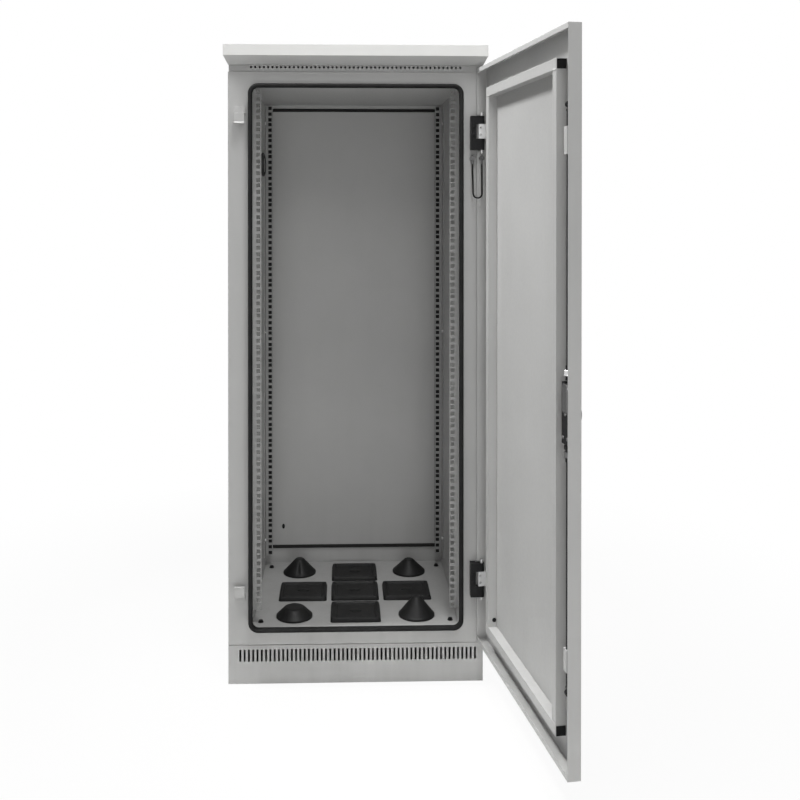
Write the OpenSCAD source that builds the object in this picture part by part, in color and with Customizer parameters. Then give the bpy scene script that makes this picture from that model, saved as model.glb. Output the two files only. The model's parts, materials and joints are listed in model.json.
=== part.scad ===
/* [Cabinet] */
// Width of the body shell
body_w = 596; // [560:1:680]
// Depth of the body shell
body_d = 500; // [480:1:640]
// Height of the body's top edge above the ground
body_top = 1429; // [1200:1:1600]
// Thickness of panels
sheet = 1.5; // [1:0.1:2]
// Thickness of the front and rear frames
frame_t = 2; // [1.5:0.1:3]
// Depth of the rear panel's folded edge
rear_pan_t = 26; // [16:1:30]

/* [Plinth] */
// Height of the plinth
plinth_h = 92; // [85:1:120]
// Thickness of the plinth's steel
plinth_t = 2; // [1.5:0.1:3]
// Height and set-back of the groove at the plinth's top
plinth_groove = 2; // [1:0.5:4]
// Width of the plinth's folded flanges
plinth_flange = 30; // [20:1:40]
// Width of the side panels' floor flanges
foot_flange = 70; // [50:1:90]
// Spacing of the vent slots
slot_pitch = 10; // [8:0.5:20]
// Width of one slot
slot_w = 4.6; // [3:0.1:6]
// Height of one slot
slot_h = 28; // [15:1:40]
// Drop of the slots' middle from the plinth's top
slot_drop = 26; // [20:1:40]
// Sideways shift of the slot row
slot_shift = 4.7; // [-6:0.1:6]
// Plain width left at each end of the slot row
slot_margin = 18; // [15:1:60]
// Distance of the anchor holes from the sides
anchor_side = 48; // [35:1:55]
// Distance of the anchor holes from the front and rear
anchor_end = 60; // [45:1:100]
// Anchor hole diameter
anchor_d = 14; // [9:0.5:18]

/* [Door opening] */
// Width of the frame beside the opening
frame_side = 54; // [52:0.5:60]
// Height of the frame over the opening
frame_head = 35; // [33:1:60]
// Height of the frame under the opening
frame_foot = 42; // [38:1:60]
// Corner radius inside the collar
open_r = 18; // [12:1:19]
// Reach of the collar in front of the frame
collar_l = 18; // [14:1:20]
// Width of the gasket
gasket_w = 10; // [6:0.5:10]
// Grip of the gasket on the collar's edge
gasket_grip = 5; // [3:0.5:8]
// Gap between the gasket and the closed door
gasket_gap = 0.3; // [0.2:0.1:1]

/* [Inside] */
// Set-back of the inner walls from the opening's sides
wall_back = 2; // [1:0.5:6]
// Rise of the floor above the plinth
floor_rise = 25; // [15:1:32]
// Space over the ceiling, up to the body's top
head_space = 29; // [20:1:32]
// Width of the rear frame inside the inner walls
rear_side = 14; // [10:1:40]
// Height of the rear sill above the plinth
rear_sill = 66; // [50:1:100]
// Height of the rear frame over its opening
rear_head = 39; // [36:1:90]
// Width of the rear seal
rear_seal_w = 8; // [5:0.5:12]

/* [Rack rails] */
// Height of one rack unit
unit_h = 44.45; // [44.45]
// Spacing of the mounting holes in one unit
hole_step = 15.875; // [15.875]
// Rise of the first unit above the plinth
rack_rise = 58; // [50:1:70]
// Room left between the last unit and the ceiling
rack_room = 5; // [3:1:40]
// Set-back of the front rails from the front face
rail_front = 58; // [50:1:90]
// Distance of the rear rails from the rear frame
rail_back = 32; // [28:1:90]
// Distance of the hole columns from the inner walls
hole_edge = 13.5; // [12:0.1:16]
// Width of a rail inside its hole column
rail_lip = 7; // [6:0.5:8]
// Side of a square mounting hole
rack_hole = 9.5; // [9:0.1:9.6]
// Length of a rail's side flange
rail_side = 40; // [25:1:60]

/* [Roof] */
// Height of the eave strip between the body and the roof cap
eave_h = 17; // [14:1:30]
// Height of the sloped soffit
soffit_h = 17; // [10:1:30]
// Height of the roof's upright edge
fascia_h = 25; // [15:1:50]
// Overhang at the sides
roof_side = 8; // [4:1:30]
// Overhang at the front
roof_front = 30; // [15:1:34]
// Overhang at the rear
roof_rear = 24; // [10:1:60]
// Fall of the roof from front to rear
roof_fall = 8; // [0:1:15]
// Width of the flange that rests on the eave strip
roof_flange = 24; // [16:1:40]
// Set-back of the eave strip from the body's front and rear
eave_inset = 8; // [5:1:12]
// Set-back of the eave strip from the body's sides
eave_side = 1; // [0:0.5:12]
// Diameter of the eave holes
eave_hole = 5.2; // [3:0.1:6]
// Spacing of the eave holes
eave_pitch = 10; // [8:0.5:20]
// Plain width left at each end of the eave holes
eave_margin = 48; // [20:1:80]

/* [Door] */
// Width of the door less than the body's
door_less = 4; // [0:0.5:8]
// Thickness of the door pan
door_t = 25; // [25:0.5:30]
// Gap between the frame and the closed door
door_gap = 4; // [3:0.5:5]
// Rise of the door's bottom edge above the plinth
door_rise = 8; // [4:1:12]
// Rise of the door's top edge above the body's top
door_over = 8; // [2:1:11]
// Lip along the door's top and bottom edges
door_lip = 10; // [6:1:14]
// Opening angle shown
door_open = 98; // [0:1:120]

/* [Door stiffener] */
// Side of the square tube
tube = 20; // [16:0.5:20]
// Wall of the square tube
tube_wall = 2; // [1.5:0.1:2.5]
// Clearance inside the gasket on the hinge side
tube_hinge_gap = 5; // [3:1:30]
// Clearance inside the gasket on the lock side
tube_lock_gap = 19; // [3:1:40]
// Clearance inside the gasket at the top and bottom
tube_end_gap = 6; // [3:1:30]

/* [Hinges] */
// Distance of the pin from the body's side
pin_side = 5; // [4:0.5:8]
// Distance of the pin from the front face
pin_out = 14; // [13:0.5:15]
// Distance of the pin from the door's hinge edge
pin_in = 8; // [7.6:0.1:9]
// Pin diameter
pin_d = 7; // [5:0.5:8]
// Radius of the hinge lugs
lug_r = 6.2; // [5:0.1:6.3]
// Height of a hinge bracket
hinge_h = 79; // [70:1:90]
// Height of its lower lug
lug_low = 26; // [15:1:28]
// Height of its upper lug
lug_high = 19; // [12:1:22]
// Rise of the lower hinge above the plinth
hinge_rise = 112; // [90:1:140]
// Drop of the upper hinge's bottom from the body's top
hinge_drop = 182; // [170:1:220]

/* [Lock] */
// Height of the lock's middle
lock_z = 745; // [650:1:850]
// Distance of the lock's axis from the lock edge
lock_in = 21; // [20.5:0.1:22]
// Pinion teeth
pinion_teeth = 16; // [14:1:18]
// Pinion pitch radius
pinion_r = 11.5; // [10.5:0.1:11.6]
// Rod diameter
rod_d = 8; // [6:0.5:9]
// Distance of the rods from the frame when closed
rod_out = 13; // [12.5:0.5:13.5]
// Roller diameter
roller_d = 12; // [10:0.5:12]
// Roller width
roller_w = 8; // [6:0.5:9]
// Drop of the upper roller from the body's top
roller_drop = 134; // [132:1:220]
// Rise of the lower roller above the plinth
roller_rise = 155; // [150:1:220]
// Clearance of the keepers from the gasket
keeper_clear = 8; // [3:0.5:10]

/* [Cable entries] */
// Share of the floor's width from one membrane plate to the next
plate_step_x = 0.2703; // [0.26:0.001:0.3]
// Share of the floor's depth from one membrane plate to the next
plate_step_y = 0.2839; // [0.25:0.001:0.29]
// Gap between membrane plates across the width
plate_gap_x = 11; // [8:0.5:20]
// Gap between membrane plates along the depth
plate_gap_y = 24; // [20:0.5:30]
// Height of a membrane plate
plate_h = 10; // [6:1:16]
// Share of the floor's width between the cones
cone_step_x = 0.6057; // [0.59:0.001:0.63]
// Share of the floor's depth between the cones
cone_step_y = 0.6208; // [0.6:0.001:0.65]
// Set-back of the entries' middle behind the floor's middle
entry_back = 9; // [0:1:15]
// Cone base radius
cone_r = 44; // [34:1:44]
// Height of a whole cone
cone_h = 46; // [40:1:60]
// Lengths trimmed off the tips: front left, front right, rear left, rear right
cone_trims = [22, 0, 7, 11]; // [0:1:30]

/* [Hidden] */
$fn = 48;

GREY = "#b4b8b3";
WHITE = "#eef0ee";
BLACK = "#232323";
STEEL = "#c3c6c8";
eps = 0.05;
run_fit = 0.1;

// Planes and edges worked out from the driving sizes
half_w = body_w / 2;
front_y = -body_d / 2;
inner_d = body_d - rear_pan_t - frame_t;
rear_frame_y = front_y + inner_d;
rear_pan_y = body_d / 2 - rear_pan_t;
open_w = body_w - 2 * frame_side;
open_z0 = plinth_h + frame_foot;
open_z1 = body_top - frame_head;
inner_w = open_w + 2 * wall_back;
inner_x = inner_w / 2;
floor_z = plinth_h + floor_rise;
ceiling_z = body_top - head_space;
rear_open_w = inner_w - 2 * rear_side;
rear_open_z0 = plinth_h + rear_sill;
rear_open_z1 = body_top - rear_head;
gasket_out = open_w / 2 + frame_t / 2 + gasket_w / 2;
gasket_y = front_y - door_gap - door_t + sheet + gasket_gap;
collar_y = front_y - collar_l;
roof_z0 = body_top + eave_h;

// Rows of slots, holes and rack units
slot_count = floor((body_w - 2 * slot_margin) / slot_pitch);
slot_z = plinth_h - slot_drop;
eave_count = floor((body_w - 2 * eave_margin) / eave_pitch);
anchor_x = body_w - 2 * anchor_side;
anchor_y = body_d - 2 * anchor_end;
rail_x = inner_x - hole_edge;
rail_edge = rail_x - rail_lip;
rail_rear = inner_d - rail_back;
rack_z0 = plinth_h + rack_rise;
rack_units = floor((ceiling_z - rack_room - rack_z0) / unit_h);
rack_z1 = rack_z0 + rack_units * unit_h;

// Cable entries
entry_y = front_y + inner_d / 2 + entry_back;
plate_dx = plate_step_x * inner_w;
plate_dy = plate_step_y * inner_d;
plate_w = plate_dx - plate_gap_x;
plate_d = plate_dy - plate_gap_y;
cone_dx = cone_step_x * inner_w;
cone_dy = cone_step_y * inner_d;

// Door values, with the door closed
door_w = body_w - door_less;
door_z0 = plinth_h + door_rise;
door_z1 = body_top + door_over;
skin_y = front_y - door_gap - door_t;
skin_in_y = skin_y + sheet;
lip_y = front_y - door_gap;
axis_x = half_w - pin_side;
axis_y = front_y - pin_out;
hinge_edge = axis_x + pin_in;
lock_edge = hinge_edge - door_w;
lock_x = lock_edge + lock_in;
rod_y = front_y - rod_out;
tube_x0 = -gasket_out + gasket_w + tube_lock_gap;
tube_x1 = gasket_out - gasket_w - tube_hinge_gap;
tube_z0 = open_z0 - frame_t / 2 + gasket_w / 2 + tube_end_gap;
tube_z1 = open_z1 + frame_t / 2 - gasket_w / 2 - tube_end_gap;
hinge_low_z = plinth_h + hinge_rise;
hinge_high_z = body_top - hinge_drop;
roller_low_z = plinth_h + roller_rise;
roller_high_z = body_top - roller_drop;

// Lock gearing
module_size = 2 * pinion_r / pinion_teeth;
rack_pitch = PI * module_size;
rod_travel = pinion_r * PI / 2;
tooth_t = 1.5;
tooth_rise = 0.8 * module_size;
tooth_root = 1.25 * module_size;
flank = tan(20);
bar_t = 3.4;
gear_w = 6;
case_t = 1.5;
case_half_h = 55;
case_y1 = front_y - 7;
case_x0 = lock_edge + sheet;
case_x1 = lock_x + pinion_r + tooth_root + bar_t + 0.3 + case_t;

// A rounded rectangle, as exact arcs and straights
module round_rect(w, h, r) {
    square([w - 2 * r, h], center = true);
    square([w, h - 2 * r], center = true);
    for (x = [-1, 1], y = [-1, 1])
        translate([x * (w / 2 - r), y * (h / 2 - r)]) circle(r);
}

// An upright rounded ring in the XZ plane, from y0 to y1
module upright_ring(w, z0, z1, r, t, y0, y1) {
    translate([0, y1, (z0 + z1) / 2]) rotate([90, 0, 0]) linear_extrude(y1 - y0) difference() {
        round_rect(w + 2 * t, z1 - z0 + 2 * t, r + t);
        round_rect(w, z1 - z0, r);
    }
}

// A box given by its two corners
module block(a, b) {
    translate(a) cube(b - a);
}

// A bar along Y, X or Z
module rod_y_dir(p, d, l) {
    translate(p) rotate([-90, 0, 0]) cylinder(d = d, h = l);
}
module rod_x_dir(p, d, l) {
    translate(p) rotate([0, 90, 0]) cylinder(d = d, h = l);
}

// Places a closed door's piece at the shown opening angle
module door_place() {
    translate([axis_x, axis_y, 0]) rotate([0, 0, door_open]) translate([-axis_x, -axis_y, 0]) children();
}

// Plinth
module plinth_face() {
    // Front panel as a folded tray, standing at the front face
    difference() {
        union() {
            block([-half_w, front_y, 0], [half_w, front_y + plinth_t, plinth_h - plinth_groove]);
            block([-half_w, front_y, 0], [half_w, front_y + plinth_flange, plinth_t]);
            block([-half_w + plinth_groove, front_y + plinth_groove, plinth_h - plinth_groove - plinth_t],
                [half_w - plinth_groove, front_y + plinth_flange, plinth_h]);
            for (x = [-half_w, half_w - plinth_t])
                block([x, front_y, 0], [x + plinth_t, front_y + plinth_flange, plinth_h - plinth_groove]);
        }
        for (i = [0 : slot_count - 1])
            translate([slot_shift + (i - (slot_count - 1) / 2) * slot_pitch - slot_w / 2, front_y - 1,
                slot_z - slot_h / 2]) cube([slot_w, plinth_t + 2, slot_h]);
    }
}
module plinth_front() {
    color(GREY) plinth_face();
}
module plinth_rear() {
    color(GREY) rotate([0, 0, 180]) plinth_face();
}
module plinth_side() {
    // Right side panel with a foot flange and two anchor holes
    y0 = front_y + plinth_flange;
    difference() {
        union() {
            block([half_w - plinth_t, y0, 0], [half_w, -y0, plinth_h - plinth_groove]);
            block([half_w - foot_flange, y0, 0], [half_w, -y0, plinth_t]);
            block([half_w - foot_flange, y0, plinth_h - plinth_groove - plinth_t],
                [half_w - plinth_groove, -y0, plinth_h]);
        }
        for (s = [-1, 1])
            translate([anchor_x / 2, s * anchor_y / 2, -1]) cylinder(d = anchor_d, h = plinth_t + 2);
    }
}
module plinth_right() {
    color(GREY) plinth_side();
}
module plinth_left() {
    color(GREY) mirror([1, 0, 0]) plinth_side();
}
bolt_head = 13;
bolt_head_h = 5.3;
module plinth_bolts() {
    // Hexagon bolts that hold the body down, heads under the top flange
    z0 = plinth_h - plinth_groove - plinth_t;
    color(STEEL) for (x = [-1, 1], y = [-1, 1])
        translate([x * (half_w - foot_flange / 2), y * anchor_y / 2, z0 - bolt_head_h])
            cylinder(d = bolt_head, h = bolt_head_h, $fn = 6);
}

// Body shell
module front_frame() {
    color(GREY) {
        difference() {
            block([-half_w, front_y, plinth_h], [half_w, front_y + frame_t, body_top]);
            translate([0, front_y + frame_t + 1, (open_z0 + open_z1) / 2]) rotate([90, 0, 0])
                linear_extrude(frame_t + 2) round_rect(open_w, open_z1 - open_z0, open_r);
        }
        upright_ring(open_w, open_z0, open_z1, open_r, frame_t, collar_y, front_y + frame_t);
    }
}
module rear_frame() {
    color(GREY) difference() {
        block([-half_w + sheet, rear_frame_y, plinth_h], [half_w - sheet, rear_frame_y + frame_t, body_top]);
        block([-rear_open_w / 2, rear_frame_y - 1, rear_open_z0],
            [rear_open_w / 2, rear_frame_y + frame_t + 1, rear_open_z1]);
    }
}
module inner_wall() {
    block([inner_x, front_y + frame_t, plinth_h], [inner_x + sheet, rear_frame_y, body_top - sheet]);
}
module inner_wall_right() {
    color(GREY) inner_wall();
}
module inner_wall_left() {
    color(GREY) mirror([1, 0, 0]) inner_wall();
}
module ceiling_plate() {
    color(GREY) block([-inner_x, front_y + frame_t, ceiling_z], [inner_x, rear_frame_y, ceiling_z + sheet]);
}
module top_plate() {
    color(GREY) block([-half_w + sheet, front_y + frame_t, body_top - sheet],
        [half_w - sheet, rear_frame_y, body_top]);
}
module outer_panel() {
    block([half_w - sheet, front_y + frame_t, plinth_h], [half_w, rear_pan_y, body_top]);
}
module outer_panel_right() {
    color(GREY) outer_panel();
}
module outer_panel_left() {
    color(GREY) mirror([1, 0, 0]) outer_panel();
}
rear_screw_d = 6;
rear_screw_head = 12;
rear_screw_head_h = 3;
rear_screw_side = 22;
rear_screw_end = 40;
liner_lap = 12;
module rear_screw_places() {
    low = plinth_h + rear_screw_end;
    high = body_top - rear_screw_end;
    for (x = [-1, 1], z = [low, (low + high) / 2, high])
        translate([x * (half_w - rear_screw_side), body_d / 2, z]) rotate([-90, 0, 0]) children();
}
module rear_panel() {
    // Folded pan, open towards the cabinet, with a hat-shaped inner skin behind the rear opening
    x = rear_open_w / 2 + liner_lap;
    z0 = rear_open_z0 - liner_lap;
    z1 = rear_open_z1 + liner_lap;
    skin = body_d / 2 - sheet;
    color(GREY) {
        difference() {
            block([-half_w, rear_pan_y, plinth_h], [half_w, body_d / 2, body_top]);
            block([-half_w + sheet, rear_pan_y - 1, plinth_h + sheet],
                [half_w - sheet, skin, body_top - sheet]);
            rear_screw_places() translate([0, 0, -sheet - 1]) cylinder(d = rear_screw_d, h = sheet + 2);
        }
        difference() {
            block([-x, rear_pan_y, z0], [x, skin + eps, z1]);
            block([-x + sheet, rear_pan_y + sheet, z0 - 1], [x - sheet, skin + 1, z1 - sheet]);
        }
    }
}
module rear_panel_screws() {
    color(STEEL) rear_screw_places() {
        cylinder(d = rear_screw_head, h = rear_screw_head_h);
        translate([0, 0, -rear_pan_t]) cylinder(d = rear_screw_d, h = rear_pan_t);
    }
}
rear_seal_out = 6;
module rear_seal() {
    // Rubber strip lining the rear opening, standing into the cabinet
    x = rear_open_w / 2;
    y0 = rear_frame_y - rear_seal_out;
    w = rear_seal_w;
    color(BLACK) difference() {
        block([-x, y0, rear_open_z0], [x, rear_pan_y, rear_open_z1]);
        block([-x + w, y0 - 1, rear_open_z0 + w], [x - w, body_d / 2, rear_open_z1 - w]);
    }
}

// Roof
module eave_strip() {
    x = half_w - eave_side;
    y0 = front_y + eave_inset;
    y1 = rear_pan_y - eave_inset;
    color(GREY) difference() {
        block([-x, y0, body_top], [x, y1, roof_z0]);
        block([-x + sheet, y0 + sheet, body_top - 1], [x - sheet, y1 - sheet, roof_z0 + 1]);
        for (i = [0 : eave_count - 1])
            rod_y_dir([(i - (eave_count - 1) / 2) * eave_pitch, y0 - 1, roof_z0 - eave_hole],
                eave_hole, y1 - y0 + 2);
    }
}
roof_top = roof_z0 + soffit_h + fascia_h;
module roof_form(t) {
    // Soffit, upright edge and falling top, shrunk inwards by t
    dy = t * 1.2;
    hull() {
        block([-half_w + dy, front_y + dy, roof_z0 + t], [half_w - dy, body_d / 2 - dy, roof_z0 + t + eps]);
        block([-half_w - roof_side + t, front_y - roof_front + t, roof_z0 + soffit_h],
            [half_w + roof_side - t, body_d / 2 + roof_rear - t, roof_top - roof_fall - t]);
        block([-half_w - roof_side + t, front_y - roof_front + t, roof_top - roof_fall - t],
            [half_w + roof_side - t, front_y - roof_front + t + eps, roof_top - t]);
    }
}
roof_bolt_side = 40;
roof_bolt_end = 60;
roof_bolt_x = half_w - roof_bolt_side;
roof_bolt_y = body_d / 2 - roof_bolt_end;
module roof_cap() {
    color(WHITE) difference() {
        roof_form(0);
        roof_form(sheet);
        block([-half_w + roof_flange, front_y + roof_flange, roof_z0 - 1],
            [half_w - roof_flange, rear_pan_y - roof_flange, roof_z0 + sheet + 1]);
    }
}
roof_slope = roof_fall / (body_d + roof_front + roof_rear);
roof_washer_d = 24;
roof_washer_t = 2;
roof_bolt_head = 17;
roof_bolt_h = 9;
module roof_bolts() {
    // Capped bolts in the lifting points
    color(STEEL) for (x = [-1, 1], y = [-roof_bolt_y, roof_bolt_y])
        translate([x * roof_bolt_x, y, roof_top - roof_slope * (y - front_y + roof_front)])
            rotate([-atan(roof_slope), 0, 0]) {
                cylinder(d = roof_washer_d, h = roof_washer_t);
                cylinder(d = roof_bolt_head, h = roof_bolt_h, $fn = 6);
            }
}

// Door gasket, an edge trim pushed over the collar
module door_gasket() {
    w = open_w + frame_t - gasket_w;
    z0 = open_z0 - frame_t / 2 + gasket_w / 2;
    z1 = open_z1 + frame_t / 2 - gasket_w / 2;
    r = open_r + frame_t / 2 - gasket_w / 2;
    color(BLACK) difference() {
        upright_ring(w, z0, z1, r, gasket_w, gasket_y, collar_y + gasket_grip);
        upright_ring(open_w, open_z0, open_z1, open_r, frame_t, collar_y, collar_y + gasket_grip + 1);
    }
}

// Rack rails
module rail(s) {
    // Right-hand rail with its face towards the front; s is -1 for a rear rail
    mirror([0, s < 0 ? 1 : 0, 0]) difference() {
        union() {
            block([rail_edge, 0, rack_z0], [inner_x, frame_t, rack_z1]);
            block([inner_x - frame_t, 0, rack_z0], [inner_x, rail_side, rack_z1]);
        }
        for (u = [0 : rack_units - 1], h = [-1, 0, 1])
            translate([rail_x, frame_t / 2, rack_z0 + (u + 0.5) * unit_h + h * hole_step])
                cube([rack_hole, frame_t + 2, rack_hole], center = true);
    }
}
module rail_front_right() {
    color(GREY) translate([0, front_y + rail_front, 0]) rail(1);
}
module rail_front_left() {
    color(GREY) mirror([1, 0, 0]) translate([0, front_y + rail_front, 0]) rail(1);
}
module rail_rear_right() {
    color(GREY) translate([0, front_y + rail_rear, 0]) rail(-1);
}
module rail_rear_left() {
    color(GREY) mirror([1, 0, 0]) translate([0, front_y + rail_rear, 0]) rail(-1);
}
rail_screw_d = 9;
rail_screw_h = 2.5;
rail_screw_edge = 12;
rail_screw_end = 50;
module rail_screws() {
    // Pan heads that fix the rails to the inner walls
    low = rack_z0 + rail_screw_end;
    high = rack_z1 - rail_screw_end;
    y_front = rail_front + rail_side - rail_screw_edge;
    y_rear = rail_rear - rail_side + rail_screw_edge;
    color(STEEL) for (s = [0, 1], y = [y_front, y_rear], z = [low, (low + high) / 2, high])
        mirror([s, 0, 0])
            rod_x_dir([inner_x - frame_t - rail_screw_h, front_y + y, z], rail_screw_d, rail_screw_h);
}

// Floor and its cable entries
entry_lap = 8;
plate_places = [[0, -plate_dy], [0, 0], [0, plate_dy], [-plate_dx, 0], [plate_dx, 0]];
module floor_plate() {
    y0 = entry_y;
    hole_x = plate_w / 2 - entry_lap;
    hole_y = plate_d / 2 - entry_lap;
    z0 = floor_z - frame_t - 1;
    color(GREY) difference() {
        block([-inner_x, front_y + frame_t, floor_z - frame_t], [inner_x, rear_frame_y, floor_z]);
        for (x = [-1, 1], y = [-1, 1])
            translate([x * cone_dx / 2, y0 + y * cone_dy / 2, z0])
                cylinder(r = cone_r - entry_lap, h = frame_t + 2);
        for (p = plate_places)
            block([p[0] - hole_x, y0 + p[1] - hole_y, z0], [p[0] + hole_x, y0 + p[1] + hole_y, floor_z + 1]);
    }
}
floor_screw_x = inner_x - 18;
floor_screw_y = 8;
floor_washer_d = 13;
floor_washer_t = 1.5;
floor_screw_head = 10;
floor_screw_h = 5.5;
module floor_screws() {
    color(BLACK) for (x = [-1, 1], y = [rail_front + floor_screw_y, rail_rear - floor_screw_y])
        translate([x * floor_screw_x, front_y + y, floor_z]) {
            cylinder(d = floor_washer_d, h = floor_washer_t);
            cylinder(d = floor_screw_head, h = floor_screw_h, $fn = 6);
        }
}
cone_wall = 3;
cone_flange_h = 4;
module cone(h, r_top) {
    // Rubber cone with an upright edge over and a lip under the floor
    w = cone_wall;
    r = cone_r;
    neck = r - entry_lap;
    under = -frame_t;
    color(BLACK) translate([0, 0, floor_z]) rotate_extrude() polygon([[0, h - w], [0, h],
        [r_top - w / 2, h], [r_top, h - w / 2], [r - w / 2, cone_flange_h + w / 2], [r, cone_flange_h],
        [r, 0], [neck, 0], [neck, under], [neck + w, under], [neck + 1, under - w],
        [neck - w - 1, under - w], [neck - w - 1, 1], [r_top - w, h - w]]);
}
cone_tip = 0.24 * cone_r;
module cone_at(x, y, trim) {
    // A trimmed cone keeps its slope, so its top is wider
    translate([x * cone_dx / 2, entry_y + y * cone_dy / 2, 0])
        cone(cone_h - trim, cone_tip + (cone_r - cone_tip) * trim / cone_h);
}
module cone_front_left() {
    cone_at(-1, -1, cone_trims[0]);
}
module cone_front_right() {
    cone_at(1, -1, cone_trims[1]);
}
module cone_rear_left() {
    cone_at(-1, 1, cone_trims[2]);
}
module cone_rear_right() {
    cone_at(1, 1, cone_trims[3]);
}
rim = 9;
recess = 3;
membrane_t = plate_h - recess;
nub_r = 10;
nub_h = 2.2;
module membrane(p) {
    // Framed membrane plate with a shallow dished middle and a nub
    x0 = p[0] - plate_w / 2;
    x1 = p[0] + plate_w / 2;
    y0 = entry_y + p[1] - plate_d / 2;
    y1 = y0 + plate_d;
    color(BLACK) {
        difference() {
            block([x0, y0, floor_z], [x1, y1, floor_z + plate_h]);
            block([x0 + rim, y0 + rim, floor_z + membrane_t], [x1 - rim, y1 - rim, floor_z + plate_h + 1]);
        }
        block([x0 + entry_lap, y0 + entry_lap, floor_z - frame_t - 2],
            [x1 - entry_lap, y1 - entry_lap, floor_z + eps]);
        translate([p[0], (y0 + y1) / 2, floor_z + membrane_t - eps])
            cylinder(r1 = nub_r, r2 = 0.55 * nub_r, h = nub_h);
    }
}
module plate_front() {
    membrane(plate_places[0]);
}
module plate_middle() {
    membrane(plate_places[1]);
}
module plate_rear() {
    membrane(plate_places[2]);
}
module plate_left() {
    membrane(plate_places[3]);
}
module plate_right() {
    membrane(plate_places[4]);
}

// Keepers for the rod rollers
keeper_w = 2 * (-gasket_out - keeper_clear - lock_x);
keeper_t = 3;
keeper_tab = 22;
keeper_gap = 11;
keeper_foot = 16;
keeper_fit = 0.6;
keeper_y = rod_out + roller_d / 2 + keeper_fit;
module keeper(z, up) {
    // z is the free edge of the tab; up is 1 when the foot lies above it
    out = keeper_y + keeper_t;
    top = keeper_tab + keeper_t;
    color(GREY) translate([lock_x - keeper_w / 2, front_y, z]) mirror([0, 0, up > 0 ? 0 : 1])
        rotate([90, 0, 90]) linear_extrude(keeper_w) polygon([[0, top + keeper_foot], [0, keeper_tab],
            [-keeper_y, keeper_tab], [-keeper_y, 5], [-keeper_y - 2, 0], [-out - 2, 1], [-out, 6],
            [-out, top], [-keeper_t, top], [-keeper_t, top + keeper_foot]]);
}
module keeper_upper() {
    keeper(roller_high_z + keeper_gap, 1);
}
module keeper_lower() {
    keeper(roller_low_z - keeper_gap, -1);
}

// Hinges
spine_in = 26;
spine_w = 12;
spine_x0 = axis_x - spine_in;
spine_x1 = spine_x0 + spine_w;
spine_l = pin_out + lug_r;
module hinge_lug(z0, h) {
    translate([0, 0, z0]) {
        block([spine_x0, axis_y - lug_r, 0], [axis_x, axis_y + lug_r, h]);
        translate([axis_x, axis_y, 0]) cylinder(r = lug_r, h = h);
    }
}
module hinge_bracket(z0) {
    color(BLACK) difference() {
        union() {
            block([spine_x0, front_y - spine_l, z0], [spine_x1, front_y, z0 + hinge_h]);
            hinge_lug(z0, lug_low);
            hinge_lug(z0 + hinge_h - lug_high, lug_high);
        }
        translate([axis_x, axis_y, z0 - 1]) cylinder(d = pin_d + 0.04, h = hinge_h + 2);
    }
}
module hinge_bracket_upper() {
    hinge_bracket(hinge_high_z);
}
module hinge_bracket_lower() {
    hinge_bracket(hinge_low_z);
}
pin_stick = 8;
module hinge_pin(z0) {
    color(STEEL) translate([axis_x, axis_y, z0 - pin_stick]) cylinder(d = pin_d, h = hinge_h + 2 * pin_stick);
}
module hinge_pin_upper() {
    hinge_pin(hinge_high_z);
}
module hinge_pin_lower() {
    hinge_pin(hinge_low_z);
}
leaf_fit = 0.3;
leaf_screw_d = 5.5;
leaf_screw_h = 1.5;
leaf_screw_y = axis_y + 5;
leaf_screw_dz = 8;
leaf_y0 = skin_in_y + 0.5;
leaf_y1 = lip_y - 1;
leaf_x0 = axis_x - lug_r;
leaf_x1 = hinge_edge - sheet;
module hinge_leaf(z0) {
    // Cast block screwed to the door's edge, bored for the pin
    low = z0 + lug_low + leaf_fit;
    high = z0 + hinge_h - lug_high - leaf_fit;
    color(STEEL) door_place() difference() {
        block([leaf_x0, leaf_y0, low], [leaf_x1, leaf_y1, high]);
        translate([axis_x, axis_y, z0]) cylinder(d = pin_d + run_fit, h = hinge_h);
    }
}
module hinge_leaf_upper() {
    hinge_leaf(hinge_high_z);
}
module hinge_leaf_lower() {
    hinge_leaf(hinge_low_z);
}
module leaf_screws() {
    mid = (lug_low + hinge_h - lug_high) / 2;
    color(STEEL) door_place() for (z0 = [hinge_high_z, hinge_low_z], s = [-1, 1])
        rod_x_dir([leaf_x0 - leaf_screw_h, leaf_screw_y, z0 + mid + s * leaf_screw_dz],
            leaf_screw_d, leaf_screw_h);
}

// Earth connection
stud_d = 6;
stud_z = hinge_high_z - 19;
stud_l = 11;
stud_in = 21;
stud_x = axis_x - stud_in;
nut_w = 10;
nut_h = 4;
ring_d = 12;
ring_t = 2;
ferrule_d = 5;
ferrule_z = stud_z - 14;
lead_out = 9;
module earth_terminal(out) {
    // Stud along +Z with its nut, and the lead's ring and ferrule at height out, the ferrule towards -Y
    cylinder(d = stud_d, h = stud_l);
    cylinder(d = nut_w / cos(30), h = nut_h, $fn = 6);
    translate([0, 0, out - ring_t / 2]) cylinder(d = ring_d, h = ring_t);
    translate([0, ferrule_z - stud_z, out]) rotate([-90, 0, 0])
        cylinder(d = ferrule_d, h = stud_z - ferrule_z - ring_d / 2 + 1);
}
module earth_stud_frame() {
    color(STEEL) translate([stud_x, front_y, stud_z]) rotate([90, 0, 0]) earth_terminal(lead_out);
}
module earth_stud_door() {
    // The ferrule hangs on the hinge axis, so the lead only twists as the door swings
    color(STEEL) door_place() translate([leaf_x1, axis_y, stud_z]) rotate([0, -90, 0]) rotate([0, 0, -90])
        earth_terminal(leaf_x1 - axis_x);
}
lead_d = 4;
lead_sides = 8;
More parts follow.
